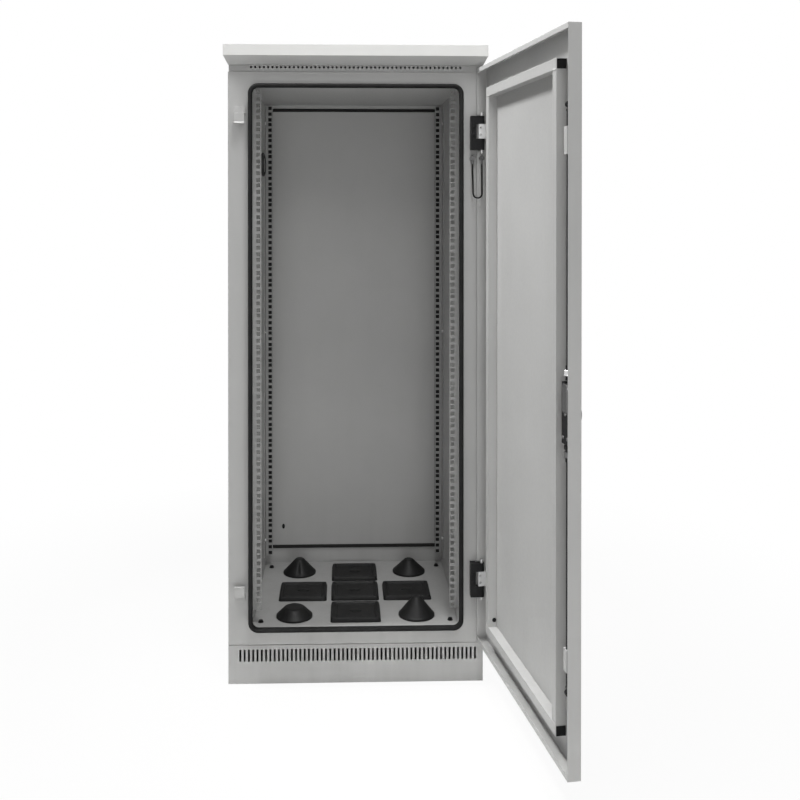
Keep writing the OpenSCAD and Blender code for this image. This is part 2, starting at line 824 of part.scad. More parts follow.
// Each point's share of the way across, its bow forwards and its drop below the ferrules
lead_form = [[0, 0, 0], [0, 1, 14], [0, 4, 32], [0.024, 7.9, 50], [0.095, 10.5, 65], [0.286, 10.6, 76],
    [0.5, 9.5, 79], [0.714, 7.4, 76], [0.881, 4.6, 65], [0.976, 2.1, 50],
    [1, 0.5, 32], [1, 0, 14], [1, 0, 0]];
lead_path = [for (p = lead_form) [stud_x + p[0] * (axis_x - stud_x),
    front_y - lead_out + p[0] * (lead_out - pin_out) - p[1], ferrule_z - p[2]]];
function unit_of(v) = v / norm(v);
function along(i) = unit_of(lead_path[min(i + 1, len(lead_path) - 1)] - lead_path[max(i - 1, 0)]);
function lead_ring(i) = let (n = [0, 1, 0], t = along(i), b = unit_of(cross(t, n)), m = cross(b, t))
    [for (k = [0 : lead_sides - 1]) lead_path[i]
        + lead_d / 2 * (cos(360 * k / lead_sides) * b + sin(360 * k / lead_sides) * m)];
module earth_lead() {
    n = len(lead_path);
    c = lead_sides;
    points = [for (i = [0 : n - 1]) each lead_ring(i)];
    sides = [for (i = [0 : n - 2], k = [0 : c - 1])
        [i * c + k, i * c + (k + 1) % c, (i + 1) * c + (k + 1) % c, (i + 1) * c + k]];
    ends = [[for (k = [c - 1 : -1 : 0]) k], [for (k = [0 : c - 1]) (n - 1) * c + k]];
    color(BLACK) polyhedron(points, concat(sides, ends));
}

// Door
notch_depth = 12;
module door_pan() {
    x0 = lock_edge + sheet;
    x1 = hinge_edge - sheet;
    notch_y = lip_y - notch_depth;
    color(GREY) door_place() difference() {
        block([lock_edge, skin_y, door_z0], [hinge_edge, lip_y, door_z1]);
        block([x0, skin_in_y, door_z0 + sheet], [x1, lip_y - sheet, door_z1 - sheet]);
        block([x0, lip_y - sheet - 1, door_z0 + door_lip], [x1, lip_y + 1, door_z1 - door_lip]);
        for (z = [hinge_low_z, hinge_high_z]) {
            top = z + hinge_h;
            block([x1 - 1, notch_y, z - 2], [hinge_edge + 1, lip_y + 1, z + lug_low]);
            block([x1 - 1, notch_y, top - lug_high], [hinge_edge + 1, lip_y + 1, top + 2]);
        }
        rod_y_dir([lock_x, skin_y - 1, lock_z], housing_d, sheet + 2);
    }
}
module door_stiffener() {
    y1 = skin_in_y + tube;
    bore = tube - 2 * tube_wall;
    w = tube_wall;
    color(GREY) door_place() difference() {
        block([tube_x0, skin_in_y, tube_z0], [tube_x1, y1, tube_z1]);
        block([tube_x0 + tube, skin_in_y - 1, tube_z0 + tube], [tube_x1 - tube, y1 + 1, tube_z1 - tube]);
        for (z = [tube_z0 + w, tube_z1 - tube + w])
            block([tube_x0 - 1, skin_in_y + w, z], [tube_x1 + 1, y1 - w, z + bore]);
        for (x = [tube_x0 + w, tube_x1 - tube + w])
            block([x, skin_in_y + w, tube_z0 + w], [x + bore, y1 - w, tube_z1 - w]);
    }
}
plug_l = 12;
plug_head = 1.5;
module tube_plugs() {
    // Square plugs with a thin head, at both ends of the upper and lower tubes
    bore = tube - 2 * tube_wall;
    color(BLACK) door_place() for (z = [tube_z0 + tube / 2, tube_z1 - tube / 2], s = [0, 1])
        translate([s == 0 ? tube_x0 : tube_x1, skin_in_y + tube / 2, z]) mirror([s, 0, 0]) {
            translate([plug_l / 2, 0, 0]) cube([plug_l, bore, bore], center = true);
            translate([-plug_head / 2, 0, 0]) cube([plug_head, bore + 2, bore + 2], center = true);
        }
}

// Lock and rods
housing_d = 22;
housing_bore = 16;
housing_l = 6;
collar_d = 32;
collar_t = 3;
lock_nut = 30;
lock_nut_t = 3;
shaft_d = 8;
key_side = 8;
key_depth = 8.5;
barrel_out = 2.5;
gear_y0 = front_y - 19;
module lock_housing() {
    color(STEEL) door_place() difference() {
        union() {
            rod_y_dir([lock_x, skin_y - collar_t, lock_z], collar_d, collar_t);
            rod_y_dir([lock_x, skin_y, lock_z], housing_d, housing_l);
            translate([lock_x, skin_in_y, lock_z]) rotate([-90, 0, 0])
                cylinder(d = lock_nut, h = lock_nut_t, $fn = 6);
        }
        rod_y_dir([lock_x, skin_y - collar_t - 1, lock_z], housing_bore + run_fit, collar_t + housing_l + 2);
    }
}
module pinion_outline() {
    tip = tooth_t / 2 - flank * tooth_rise;
    foot = tooth_t / 2 + flank * tooth_root;
    inner = pinion_r - tooth_root - 0.4;
    outer = pinion_r + tooth_rise;
    circle(pinion_r - tooth_root + 0.1);
    for (i = [0 : pinion_teeth - 1])
        rotate(i * 360 / pinion_teeth) polygon([[inner, -foot], [outer, -tip], [outer, tip], [inner, foot]]);
}
module lock_barrel() {
    // Keyed barrel, pinion and tail shaft, turned as one
    color(STEEL) door_place() difference() {
        union() {
            rod_y_dir([lock_x, skin_y - barrel_out, lock_z], housing_bore, gear_y0 - skin_y + barrel_out);
            translate([lock_x, gear_y0, lock_z]) rotate([-90, 0, 0]) linear_extrude(gear_w) pinion_outline();
            rod_y_dir([lock_x, gear_y0 + gear_w, lock_z], shaft_d, case_y1 - gear_y0 - gear_w + 1);
        }
        translate([lock_x, skin_y - barrel_out + key_depth / 2 - 0.5, lock_z])
            cube([key_side, key_depth + 1, key_side], center = true);
    }
}
module lock_case() {
    z0 = lock_z - case_half_h;
    z1 = lock_z + case_half_h;
    color(BLACK) door_place() difference() {
        block([case_x0, skin_in_y, z0], [case_x1, case_y1, z1]);
        block([case_x0 + case_t, skin_in_y - 1, z0 - 1], [case_x1 - case_t, case_y1 - case_t, z1 + 1]);
        rod_y_dir([lock_x, case_y1 - case_t - 1, lock_z], shaft_d + run_fit, case_t + 2);
    }
}
module rack_bar(s) {
    // Toothed bar on one side of the pinion, its long end upwards; s is the side along X
    body_x = pinion_r + tooth_root;
    z0 = -rod_travel - 3 * rack_pitch;
    mirror([s < 0 ? 1 : 0, 0, 0]) {
        block([body_x, 0, z0], [body_x + bar_t, gear_w, case_half_h + 8]);
        for (i = [-6 : 2])
            translate([0, gear_w, (i + 0.5) * rack_pitch]) rotate([90, 0, 0]) linear_extrude(gear_w)
                polygon([[body_x + 0.2, -tooth_t / 2 - flank * tooth_root],
                    [pinion_r - tooth_rise, -tooth_t / 2 + flank * tooth_rise],
                    [pinion_r - tooth_rise, tooth_t / 2 - flank * tooth_rise],
                    [body_x + 0.2, tooth_t / 2 + flank * tooth_root]]);
    }
}
tongue_x = -roller_w / 2 - 3.2;
sleeve_d = 11;
sleeve_l = 26;
module rod(s, reach) {
    // Round rod from the rack's foot, with its clamping sleeve, to a tongue for the roller's pin
    foot_z = case_half_h + 4;
    bar_x = pinion_r + tooth_root + bar_t;
    yc = rod_y - gear_y0;
    rack_bar(s);
    block([s < 0 ? -bar_x : -rod_d / 2, 0, foot_z], [s < 0 ? rod_d / 2 : bar_x, gear_w + 2, foot_z + 8]);
    translate([0, yc, foot_z]) cylinder(d = rod_d, h = reach - foot_z - roller_d / 2 - 2);
    translate([0, yc, foot_z + 1]) cylinder(d = sleeve_d, h = sleeve_l);
    block([tongue_x, yc - 4, reach - roller_d / 2 - 6], [rod_d / 2 - 1, yc + 4, reach - roller_d / 2 - 2]);
    block([tongue_x, yc - 4, reach - roller_d / 2 - 3], [tongue_x + 2.5, yc + 4, reach + 4]);
    rod_x_dir([tongue_x, yc, reach], 5, roller_w + 6.5);
}
module roller(reach) {
    color(BLACK) door_place() translate([lock_x, rod_y, reach]) difference() {
        rod_x_dir([-roller_w / 2 - 0.2, 0, 0], roller_d, roller_w);
        rod_x_dir([-roller_w / 2 - 1, 0, 0], 5 + run_fit, roller_w + 2);
    }
}
module upper_rod() {
    color(BLACK) door_place() translate([lock_x, gear_y0, lock_z]) rod(-1, roller_high_z - lock_z);
}
module lower_rod() {
    color(BLACK) door_place() translate([lock_x, gear_y0, lock_z]) mirror([0, 0, 1])
        rod(1, lock_z - roller_low_z);
}
module upper_roller() {
    roller(roller_high_z);
}
module lower_roller() {
    roller(roller_low_z);
}
guide_w = 16;
guide_t = 2;
guide_ear = 12;
guide_high_h = 50;
guide_low_h = 40;
guide_off = 39;
module rod_guide(z0, h) {
    // Folded bridge over the rod, with ears on the door's skin
    x0 = lock_x - guide_w / 2;
    x1 = lock_x + guide_w / 2;
    color(GREY) door_place() difference() {
        union() {
            block([x0, skin_in_y, z0], [x1, rod_y + rod_d / 2 + guide_t, z0 + h]);
            block([x0, skin_in_y, z0 - guide_ear], [x1, skin_in_y + guide_t, z0 + h + guide_ear]);
        }
        translate([lock_x, rod_y, z0 - 1]) cylinder(d = rod_d + 2 * run_fit, h = h + 2);
    }
}
module rod_guide_upper() {
    rod_guide(roller_high_z - guide_off - guide_high_h, guide_high_h);
}
module rod_guide_lower() {
    rod_guide(roller_low_z + guide_off, guide_low_h);
}

plinth_front();
plinth_rear();
plinth_left();
plinth_right();
plinth_bolts();
front_frame();
rear_frame();
inner_wall_left();
inner_wall_right();
ceiling_plate();
floor_plate();
outer_panel_left();
outer_panel_right();
rear_panel();
rear_seal();
rear_panel_screws();
top_plate();
eave_strip();
roof_cap();
roof_bolts();
door_gasket();
rail_front_left();
rail_front_right();
rail_rear_left();
rail_rear_right();
rail_screws();
floor_screws();
cone_front_left();
cone_front_right();
cone_rear_left();
cone_rear_right();
plate_front();
plate_middle();
plate_rear();
plate_left();
plate_right();
keeper_upper();
keeper_lower();
hinge_bracket_upper();
hinge_bracket_lower();
hinge_pin_upper();
hinge_pin_lower();
earth_stud_frame();
earth_lead();
door_pan();
door_stiffener();
tube_plugs();
hinge_leaf_upper();
hinge_leaf_lower();
leaf_screws();
earth_stud_door();
rod_guide_upper();
rod_guide_lower();
lock_case();
lock_housing();
lock_barrel();
upper_rod();
upper_roller();
lower_rod();
lower_roller();
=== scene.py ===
"""Finishes, seals, cable entries, fixings and studio for the roadside utility cabinet."""

import json
import math

import bmesh
import bpy
import numpy as np
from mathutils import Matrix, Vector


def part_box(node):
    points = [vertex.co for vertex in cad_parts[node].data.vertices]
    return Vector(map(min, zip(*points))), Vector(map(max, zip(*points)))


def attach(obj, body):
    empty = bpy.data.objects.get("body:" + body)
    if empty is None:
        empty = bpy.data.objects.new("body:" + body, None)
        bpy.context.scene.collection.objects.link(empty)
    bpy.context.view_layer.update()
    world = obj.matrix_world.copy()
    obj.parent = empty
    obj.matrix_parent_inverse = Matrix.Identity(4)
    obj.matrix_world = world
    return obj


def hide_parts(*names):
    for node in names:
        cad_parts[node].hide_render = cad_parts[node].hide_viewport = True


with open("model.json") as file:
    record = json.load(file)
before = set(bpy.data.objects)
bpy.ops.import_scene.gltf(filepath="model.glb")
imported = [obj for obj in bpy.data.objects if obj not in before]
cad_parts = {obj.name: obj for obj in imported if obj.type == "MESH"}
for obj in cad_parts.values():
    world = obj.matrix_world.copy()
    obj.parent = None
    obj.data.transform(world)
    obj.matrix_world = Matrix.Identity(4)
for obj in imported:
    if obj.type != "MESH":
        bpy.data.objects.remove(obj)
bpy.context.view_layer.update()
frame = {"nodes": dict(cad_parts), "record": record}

bl_info = {
    "name": "Roadside utility cabinet",
    "version": (1, 0, 0),
    "blender": (4, 5, 0),
    "location": "View3D > Sidebar > Cabinet",
    "description": "Dresses the packed cabinet: finishes, seals, cable entries, fixings and studio",
    "category": "Object",
}

MM = 0.001
JOINTS = {joint["name"]: joint for joint in frame["record"]["behaviour"]["joints"]}
HINGE_AXIS = np.array(JOINTS["door_hinge"]["pos_m"])
OPENING = math.radians(-JOINTS["door_hinge"]["range_deg"][0])


def turned(points, angle):
    """Points turned about the hinge axis by an angle."""
    c, s = math.cos(angle), math.sin(angle)
    matrix = np.array([[c, -s, 0.0], [s, c, 0.0], [0.0, 0.0, 1.0]])
    return (np.asarray(points, float) - HINGE_AXIS) @ matrix.T + HINGE_AXIS


def on_door(points):
    """Points of the closed door, moved to the door as it stands open."""
    return turned(points, OPENING)


def closed_door(point):
    """A point of the open door, moved to the closed door."""
    return turned([point], -OPENING)[0]


# The lock's axis on the closed door, and the front frame's face, whose collar stands 18 mm before it
LOCK = closed_door(JOINTS["lock_turn"]["pos_m"])
COLLAR_REACH = 18 * MM
FRONT_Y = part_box("front_frame")[0].y + COLLAR_REACH
# The inner face of the door's skin, and the inner edges of its stiffener's square tubes
SKIN_SET_BACK = 27.5 * MM
SKIN_IN_Y = FRONT_Y - SKIN_SET_BACK
TUBE_SIDE = 20 * MM
TUBE_FACE_Y = SKIN_IN_Y + TUBE_SIDE
TUBE_INNER_X = 215 * MM
TUBE_INNER_LOCK_X = -201 * MM
TUBE_BOTTOM_Z = 164 * MM
TUBE_TOP_Z = 1364 * MM
# The lock case's face
LOCK_FACE_Y = FRONT_Y - 7 * MM


# Colour and node helpers

def linear(code):
    """An sRGB hex colour as linear red, green and blue, with an alpha of one."""
    channels = [int(code[i:i + 2], 16) / 255 for i in (1, 3, 5)]
    return tuple(c / 12.92 if c <= 0.04045 else ((c + 0.055) / 1.055) ** 2.4
                 for c in channels) + (1.0,)


def add(tree, kind, values=None, links=None, **settings):
    """Adds one node with its settings, its unlinked socket values and its links."""
    node = tree.nodes.new(kind)
    for name, value in settings.items():
        setattr(node, name, value)
    for socket, value in (values or {}).items():
        node.inputs[socket].default_value = value
    for socket, source in (links or {}).items():
        tree.links.new(source, node.inputs[socket])
    return node


def new_material(name):
    """An empty node material, its tree, its output and its object coordinates."""
    material = bpy.data.materials.new(name)
    material.use_nodes = True
    tree = material.node_tree
    tree.nodes.clear()
    output = add(tree, "ShaderNodeOutputMaterial")
    place = add(tree, "ShaderNodeTexCoord").outputs["Object"]
    return material, tree, output, place


def per_metre(size_mm):
    """Noise scale whose features are about this many millimetres wide."""
    return 1000 / size_mm


def powder_coat(name, colour, dust, shaded_underside=None):
    """Powder coat on sheet steel: sprayed dry and baked, so it is satin, slightly pebbled and even.

    Broad clouds vary the tone by a few percent, street dust settles low down and in streaks, and
    the folded edges are rounded and a little paler, partly where the coat is thin and partly as a
    painted highlight. A darker underside colour replaces the coat's own on the faces that look
    down: a grey underside paint that also paints in the shade under an overhang.
    """
    material, tree, output, place = new_material(name)
    # Pebbling is about 1 mm on the real coat and is drawn 7 mm wide so that it shows
    pebble = add(tree, "ShaderNodeTexNoise",
                 {"Scale": per_metre(7), "Detail": 2.0, "Roughness": 0.5}, {"Vector": place})
    # Tone clouds about 260 mm wide
    cloud = add(tree, "ShaderNodeTexNoise",
                {"Scale": per_metre(260), "Detail": 3.0, "Roughness": 0.55}, {"Vector": place})
    tone = add(tree, "ShaderNodeMapRange",
               {"From Min": 0.3, "From Max": 0.7, "To Min": 0.955, "To Max": 1.03},
               {"Value": cloud.outputs["Fac"]})
    base = add(tree, "ShaderNodeVectorMath", {0: tuple(colour)}, operation="SCALE")
    tree.links.new(tone.outputs["Result"], base.inputs["Scale"])
    # Rounded folds of about 1.5 mm, and their paler edge: partly thin coat, partly a painted highlight
    fold = add(tree, "ShaderNodeBevel", {"Radius": 1.5 * MM}, samples=4)
    facing = add(tree, "ShaderNodeNewGeometry")
    coat = base.outputs["Vector"]
    # Faces that look down take the darker underside colour: painted shade under the overhang, given as
    # grey paint
    if shaded_underside:
        down = add(tree, "ShaderNodeSeparateXYZ", links={"Vector": facing.outputs["Normal"]})
        below = add(tree, "ShaderNodeMapRange",
                    {"From Min": -0.1, "From Max": -0.3, "To Min": 0.0, "To Max": 1.0},
                    {"Value": down.outputs["Z"]})
        coat = add(tree, "ShaderNodeMix", {"B": linear(shaded_underside)},
                   {"Factor": below.outputs["Result"], "A": coat},
                   data_type="RGBA").outputs["Result"]
    flat = add(tree, "ShaderNodeVectorMath",
               links={0: fold.outputs["Normal"], 1: facing.outputs["Normal"]},
               operation="DOT_PRODUCT")
    edge = add(tree, "ShaderNodeMapRange",
               {"From Min": 0.995, "From Max": 0.8, "To Min": 0.0, "To Max": 0.35},
               {"Value": flat.outputs["Value"]})
    pale_edge_and_highlight = add(tree, "ShaderNodeMix", {"B": linear("#dededd")},
               {"Factor": edge.outputs["Result"], "A": coat}, data_type="RGBA")
    # Dust thins out over the lowest 300 mm, broken into streaks 30 mm wide and 240 mm tall
    height = add(tree, "ShaderNodeSeparateXYZ", links={"Vector": place})
    low = add(tree, "ShaderNodeMapRange",
              {"From Min": 0.0, "From Max": 0.3, "To Min": 1.0, "To Max": 0.12},
              {"Value": height.outputs["Z"]})
    stretched = add(tree, "ShaderNodeMapping", {"Scale": (1.0, 1.0, 0.125)}, {"Vector": place})
    streak = add(tree, "ShaderNodeTexNoise", {"Scale": per_metre(30), "Detail": 3.0},
                 {"Vector": stretched.outputs["Vector"]})
    broken = add(tree, "ShaderNodeMapRange",
                 {"From Min": 0.42, "From Max": 0.75, "To Min": 0.0, "To Max": dust},
                 {"Value": streak.outputs["Fac"]})
    amount = add(tree, "ShaderNodeMath",
                 links={0: low.outputs["Result"], 1: broken.outputs["Result"]}, operation="MULTIPLY")
    dusty = add(tree, "ShaderNodeMix", {"B": linear("#787570")},
                {"Factor": amount.outputs["Value"], "A": pale_edge_and_highlight.outputs["Result"]}, data_type="RGBA")
    bump = add(tree, "ShaderNodeBump", {"Strength": 0.16, "Distance": 0.35 * MM},
               {"Height": pebble.outputs["Fac"], "Normal": fold.outputs["Normal"]})
    satin = add(tree, "ShaderNodeMapRange",
                {"From Min": 0.3, "From Max": 0.7, "To Min": 0.40, "To Max": 0.52},
                {"Value": pebble.outputs["Fac"]})
    paint = add(tree, "ShaderNodeBsdfPrincipled", {"IOR": 1.5, "Specular IOR Level": 0.4},
                {"Base Color": dusty.outputs["Result"], "Roughness": satin.outputs["Result"],
                 "Normal": bump.outputs["Normal"]})
    tree.links.new(paint.outputs["BSDF"], output.inputs["Surface"])
    return material


def moulded_rubber(name, colour, rough, grain_mm):
    """EPDM or neoprene rubber, moulded or extruded: matt black, with a faint grey bloom and grain."""
    material, tree, output, place = new_material(name)
    # Grain is about 0.3 mm on the real rubber and is drawn coarser so that it shows
    grain = add(tree, "ShaderNodeTexNoise", {"Scale": per_metre(grain_mm), "Detail": 3.0},
                {"Vector": place})
    # Bloom patches about 45 mm wide
    bloom = add(tree, "ShaderNodeTexNoise",
                {"Scale": per_metre(45), "Detail": 4.0, "Roughness": 0.6}, {"Vector": place})
    patch = add(tree, "ShaderNodeMapRange",
                {"From Min": 0.4, "From Max": 0.75, "To Min": 0.0, "To Max": 0.5},
                {"Value": bloom.outputs["Fac"]})
    tint = add(tree, "ShaderNodeMix", {"A": linear(colour), "B": linear("#2c2c2c")},
               {"Factor": patch.outputs["Result"]}, data_type="RGBA")
    matt = add(tree, "ShaderNodeMapRange",
               {"From Min": 0.3, "From Max": 0.7, "To Min": rough - 0.08, "To Max": rough + 0.1},
               {"Value": grain.outputs["Fac"]})
    bump = add(tree, "ShaderNodeBump", {"Strength": 0.25, "Distance": 0.2 * MM},
               {"Height": grain.outputs["Fac"]})
    rubber = add(tree, "ShaderNodeBsdfPrincipled", {"IOR": 1.52, "Specular IOR Level": 0.2},
                 {"Base Color": tint.outputs["Result"], "Roughness": matt.outputs["Result"],
                  "Normal": bump.outputs["Normal"]})
    tree.links.new(rubber.outputs["BSDF"], output.inputs["Surface"])
    return material


def plated_steel(name, colour, rough):
    """Zinc on steel or die cast: metallic, with cloudy spangle and fine drawing marks."""
    material, tree, output, place = new_material(name)
    # Spangle about 4 mm wide
    spangle = add(tree, "ShaderNodeTexVoronoi", {"Scale": per_metre(4)}, {"Vector": place})
    # Drawing marks about 0.6 mm apart along the height
    drawn = add(tree, "ShaderNodeMapping", {"Scale": (1.0, 1.0, 0.06)}, {"Vector": place})
    marks = add(tree, "ShaderNodeTexNoise", {"Scale": per_metre(0.6), "Detail": 2.0},
                {"Vector": drawn.outputs["Vector"]})
    glint = add(tree, "ShaderNodeMapRange",
                {"From Min": 0.0, "From Max": 1.0, "To Min": rough - 0.06, "To Max": rough + 0.12},
                {"Value": spangle.outputs["Color"]})
    bump = add(tree, "ShaderNodeBump", {"Strength": 0.12, "Distance": 0.05 * MM},
               {"Height": marks.outputs["Fac"]})
    zinc = add(tree, "ShaderNodeBsdfPrincipled", {"Base Color": linear(colour), "Metallic": 1.0},
               {"Roughness": glint.outputs["Result"], "Normal": bump.outputs["Normal"]})
    tree.links.new(zinc.outputs["BSDF"], output.inputs["Surface"])
    return material


def black_finish(name, colour, rough, grain_mm):
    """Black coating, nylon or PVC: dark, with slightly uneven gloss and scuffs that go grey."""
    material, tree, output, place = new_material(name)
    # Grain is about 0.3 mm on the real coat and is drawn coarser so that it shows
    grain = add(tree, "ShaderNodeTexNoise", {"Scale": per_metre(grain_mm), "Detail": 3.0},
                {"Vector": place})
    # Scuffs about 12 mm long
    scuff = add(tree, "ShaderNodeTexNoise",
                {"Scale": per_metre(12), "Detail": 5.0, "Roughness": 0.7}, {"Vector": place})
    worn = add(tree, "ShaderNodeMapRange",
               {"From Min": 0.58, "From Max": 0.8, "To Min": 0.0, "To Max": 0.35},
               {"Value": scuff.outputs["Fac"]})
    tint = add(tree, "ShaderNodeMix", {"A": linear(colour), "B": linear("#4a4a4a")},
               {"Factor": worn.outputs["Result"]}, data_type="RGBA")
    gloss = add(tree, "ShaderNodeMapRange",
                {"From Min": 0.3, "From Max": 0.7, "To Min": rough - 0.07, "To Max": rough + 0.09},
                {"Value": grain.outputs["Fac"]})
    bump = add(tree, "ShaderNodeBump", {"Strength": 0.15, "Distance": 0.15 * MM},
               {"Height": grain.outputs["Fac"]})
    coat = add(tree, "ShaderNodeBsdfPrincipled", {"IOR": 1.5, "Specular IOR Level": 0.18},
               {"Base Color": tint.outputs["Result"], "Roughness": gloss.outputs["Result"],
                "Normal": bump.outputs["Normal"]})
    tree.links.new(coat.outputs["BSDF"], output.inputs["Surface"])
    return material


# Surfaces on grids

def grid_faces(rows, cols, ring=False):
    """Quads between neighbouring rows and columns of a grid.

    The columns join round, and on a ring the last row joins the first.
    """
    i, j = np.meshgrid(np.arange(rows if ring else rows - 1), np.arange(cols), indexing="ij")
    i1, j1 = (i + 1) % rows, (j + 1) % cols
    corners = [i * cols + j, i1 * cols + j, i1 * cols + j1, i * cols + j1]
    return np.stack(corners, -1).reshape(-1, 4)


def make_piece(name, surfaces, body, material, smooth_deg=40, ring=False):
    """One object from surfaces, merged and faced outwards.

    Each surface is a grid of rows, columns and 3 coordinates. Edges sharper than smooth_deg stay sharp.
    """
    points, faces, start = [], [], 0
    for grid in surfaces:
        rows, cols = grid.shape[:2]
        points.append(grid.reshape(-1, 3))
        faces.append(grid_faces(rows, cols, ring) + start)
        start += rows * cols
    mesh = bpy.data.meshes.new(name)
    mesh.from_pydata(np.concatenate(points).tolist(), [], np.concatenate(faces).tolist())
    shape = bmesh.new()
    shape.from_mesh(mesh)
    bmesh.ops.remove_doubles(shape, verts=shape.verts, dist=1e-6)
    bmesh.ops.dissolve_degenerate(shape, edges=shape.edges, dist=1e-7)
    bmesh.ops.recalc_face_normals(shape, faces=shape.faces)
    shape.to_mesh(mesh)
    shape.free()
    piece = bpy.data.objects.new(name, mesh)
    bpy.context.collection.objects.link(piece)
    mesh.materials.append(material)
    mesh.shade_smooth()
    mesh.set_sharp_from_angle(angle=math.radians(smooth_deg))
    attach(piece, body)
    return piece


def lathe(profile, turns=48):
    """A profile of radius and height turned about +Z: x = r cos a, y = r sin a, z = h."""
    profile = np.asarray(profile, float)
    angle = np.linspace(0, 2 * math.pi, turns, endpoint=False)
    r, h = profile[:, :1], profile[:, 1:]
    height = np.broadcast_to(h, (len(profile), turns))
    return np.stack([r * np.cos(angle), r * np.sin(angle), height], -1)


def carried(path, outward, forward, profile):
    """A profile carried along a path: each point is path + a * outward + b * forward."""
    profile = np.asarray(profile, float)
    return (path[:, None] + profile[None, :, :1] * outward[:, None]
            + profile[None, :, 1:] * np.broadcast_to(forward, path.shape)[:, None])


def arc(centre, radius, start_deg, end_deg, steps):
    """Points on a circular arc in the profile plane."""
    a = np.radians(np.linspace(start_deg, end_deg, steps))
    return np.stack([centre[0] + radius * np.cos(a), centre[1] + radius * np.sin(a)], -1)


def rounded_loop(half_w, low, high, radius, steps=12):
    """A rounded rectangle in the XZ plane: its points and their outward directions."""
    corners = [(half_w - radius, high - radius, 0), (-half_w + radius, high - radius, 90),
               (-half_w + radius, low + radius, 180), (half_w - radius, low + radius, 270)]
    angle = np.radians(np.concatenate([np.linspace(a, a + 90, steps) for _, _, a in corners]))
    centre = np.repeat([(x, z) for x, z, _ in corners], steps, axis=0)
    outward = np.stack([np.cos(angle), np.zeros_like(angle), np.sin(angle)], -1)
    path = np.stack([centre[:, 0], np.zeros_like(angle), centre[:, 1]], -1) + radius * outward
    return path, outward


def raised_panel(half_x, half_y, steps_mm, radius):
    """Rings of a rounded rectangle, closed in the middle.

    Each step gives how far its ring is drawn in and raised, in millimetres. A corner's radius shrinks
    by 0.4 of what its ring is drawn in, and no ring shrinks to a point.
    """
    steps = np.asarray(steps_mm, float) * MM
    per_corner = 8
    angle = np.radians(np.concatenate([np.linspace(a, a + 90, per_corner) for a in (0, 90, 180, 270)]))
    least_x, least_y, least_corner = 1.5 * MM, 0.9 * MM, 0.8 * MM
    reach_x = np.maximum(half_x - steps[:, :1], least_x)
    reach_y = np.maximum(half_y - steps[:, :1], least_y)
    corner = np.maximum(radius - 0.4 * steps[:, :1], least_corner)
    corner = np.minimum(corner, np.minimum(reach_x, reach_y))
    x = np.repeat([1, -1, -1, 1], per_corner) * (reach_x - corner) + corner * np.cos(angle)
    y = np.repeat([1, 1, -1, -1], per_corner) * (reach_y - corner) + corner * np.sin(angle)
    rings = np.stack([x, y, np.broadcast_to(steps[:, 1:], x.shape)], -1)
    ends = [np.broadcast_to([0.0, 0.0, steps[k, 1]], rings[:1].shape) for k in (0, -1)]
    return np.concatenate([ends[0], rings, ends[1]])


def set_along(points, direction, place):
    """Points made about +Z, turned so that +Z lies along a direction, and moved to a place."""
    z = np.asarray(direction, float) / np.linalg.norm(direction)
    x = np.cross((0.0, 0.0, 1.0) if abs(z[2]) < 0.9 else (1.0, 0.0, 0.0), z)
    x /= np.linalg.norm(x)
    return points @ np.stack([x, np.cross(z, x), z]) + np.asarray(place, float)


def screw_head(diameter, height, cross=0.62):
    """A domed screw head with a cross recess: a lathe whose height drops inside two crossed bars."""
    r = np.concatenate([np.linspace(0, 0.9, 16), [0.96, 1.0, 1.0]])[:, None] * diameter / 2
    a = np.linspace(0, 2 * math.pi, 48, endpoint=False)[None]
    x, y = r * np.cos(a), r * np.sin(a)
    dome = height * (1 - 0.45 * (2 * r / diameter) ** 2) + 0 * a
    dome[-1] = 0.0
    bar = 0.11 * diameter
    recess = ((np.abs(x) < bar) | (np.abs(y) < bar)) & (r < cross * diameter / 2)
    return np.stack([x, y, dome - 0.55 * height * recess], -1)


def rivet_head(diameter, height):
    """A blind rivet: a low dome with the broken mandrel's dimple in its middle."""
    r = diameter / 2
    # Shares of the radius and of the height
    shares = [(0, 0.55), (0.2, 0.55), (0.26, 0.98), (0.5, 0.9), (0.8, 0.6), (0.96, 0.25), (1.0, 0.0)]
    return lathe(np.array(shares) * (r, height), 24)


def smooth_route(points, count):
    """A Catmull-Rom curve through points: each span is a cubic set by its four nearest points."""
    p = np.asarray(points, float)
    p = np.concatenate([[2 * p[0] - p[1]], p, [2 * p[-1] - p[-2]]])
    t = np.linspace(0, len(points) - 1, count)
    i = np.minimum(t.astype(int), len(points) - 2)
    u = (t - i)[:, None]
    a, b, c, d = p[i], p[i + 1], p[i + 2], p[i + 3]
    return 0.5 * (2 * b + (c - a) * u + (2 * a - 5 * b + 4 * c - d) * u ** 2
                  + (3 * b - a - 3 * c + d) * u ** 3)


# User settings

class CabinetFinish(bpy.types.PropertyGroup):
    """Colours of the cabinet's finishes"""
    body_colour: bpy.props.FloatVectorProperty(
        name="Body paint", description="Powder coat of the body and door", subtype="COLOR", size=3,
        min=0.0, max=1.0, default=linear("#b4b4b3")[:3])
    roof_colour: bpy.props.FloatVectorProperty(
        name="Roof paint", description="Powder coat of the roof cap", subtype="COLOR", size=3,
        min=0.0, max=1.0, default=linear("#ececea")[:3])
    dust: bpy.props.FloatProperty(
        name="Dust", description="Street dust on the lowest panels", subtype="FACTOR",
        min=0.0, max=1.0, default=0.16)


class CabinetSizes(bpy.types.PropertyGroup):
    """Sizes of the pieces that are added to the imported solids"""
    lead_diameter: bpy.props.FloatProperty(
        name="Lead diameter", description="Outside diameter of the door's earth lead",
        unit="LENGTH", default=4 * MM)
    screw_diameter: bpy.props.FloatProperty(
        name="Screw head", description="Head diameter of the hinge bracket's screws",
        unit="LENGTH", default=8 * MM)
    rivet_diameter: bpy.props.FloatProperty(
        name="Rivet head", description="Head diameter of the lock's and rod guides' rivets",
        unit="LENGTH", default=7 * MM)


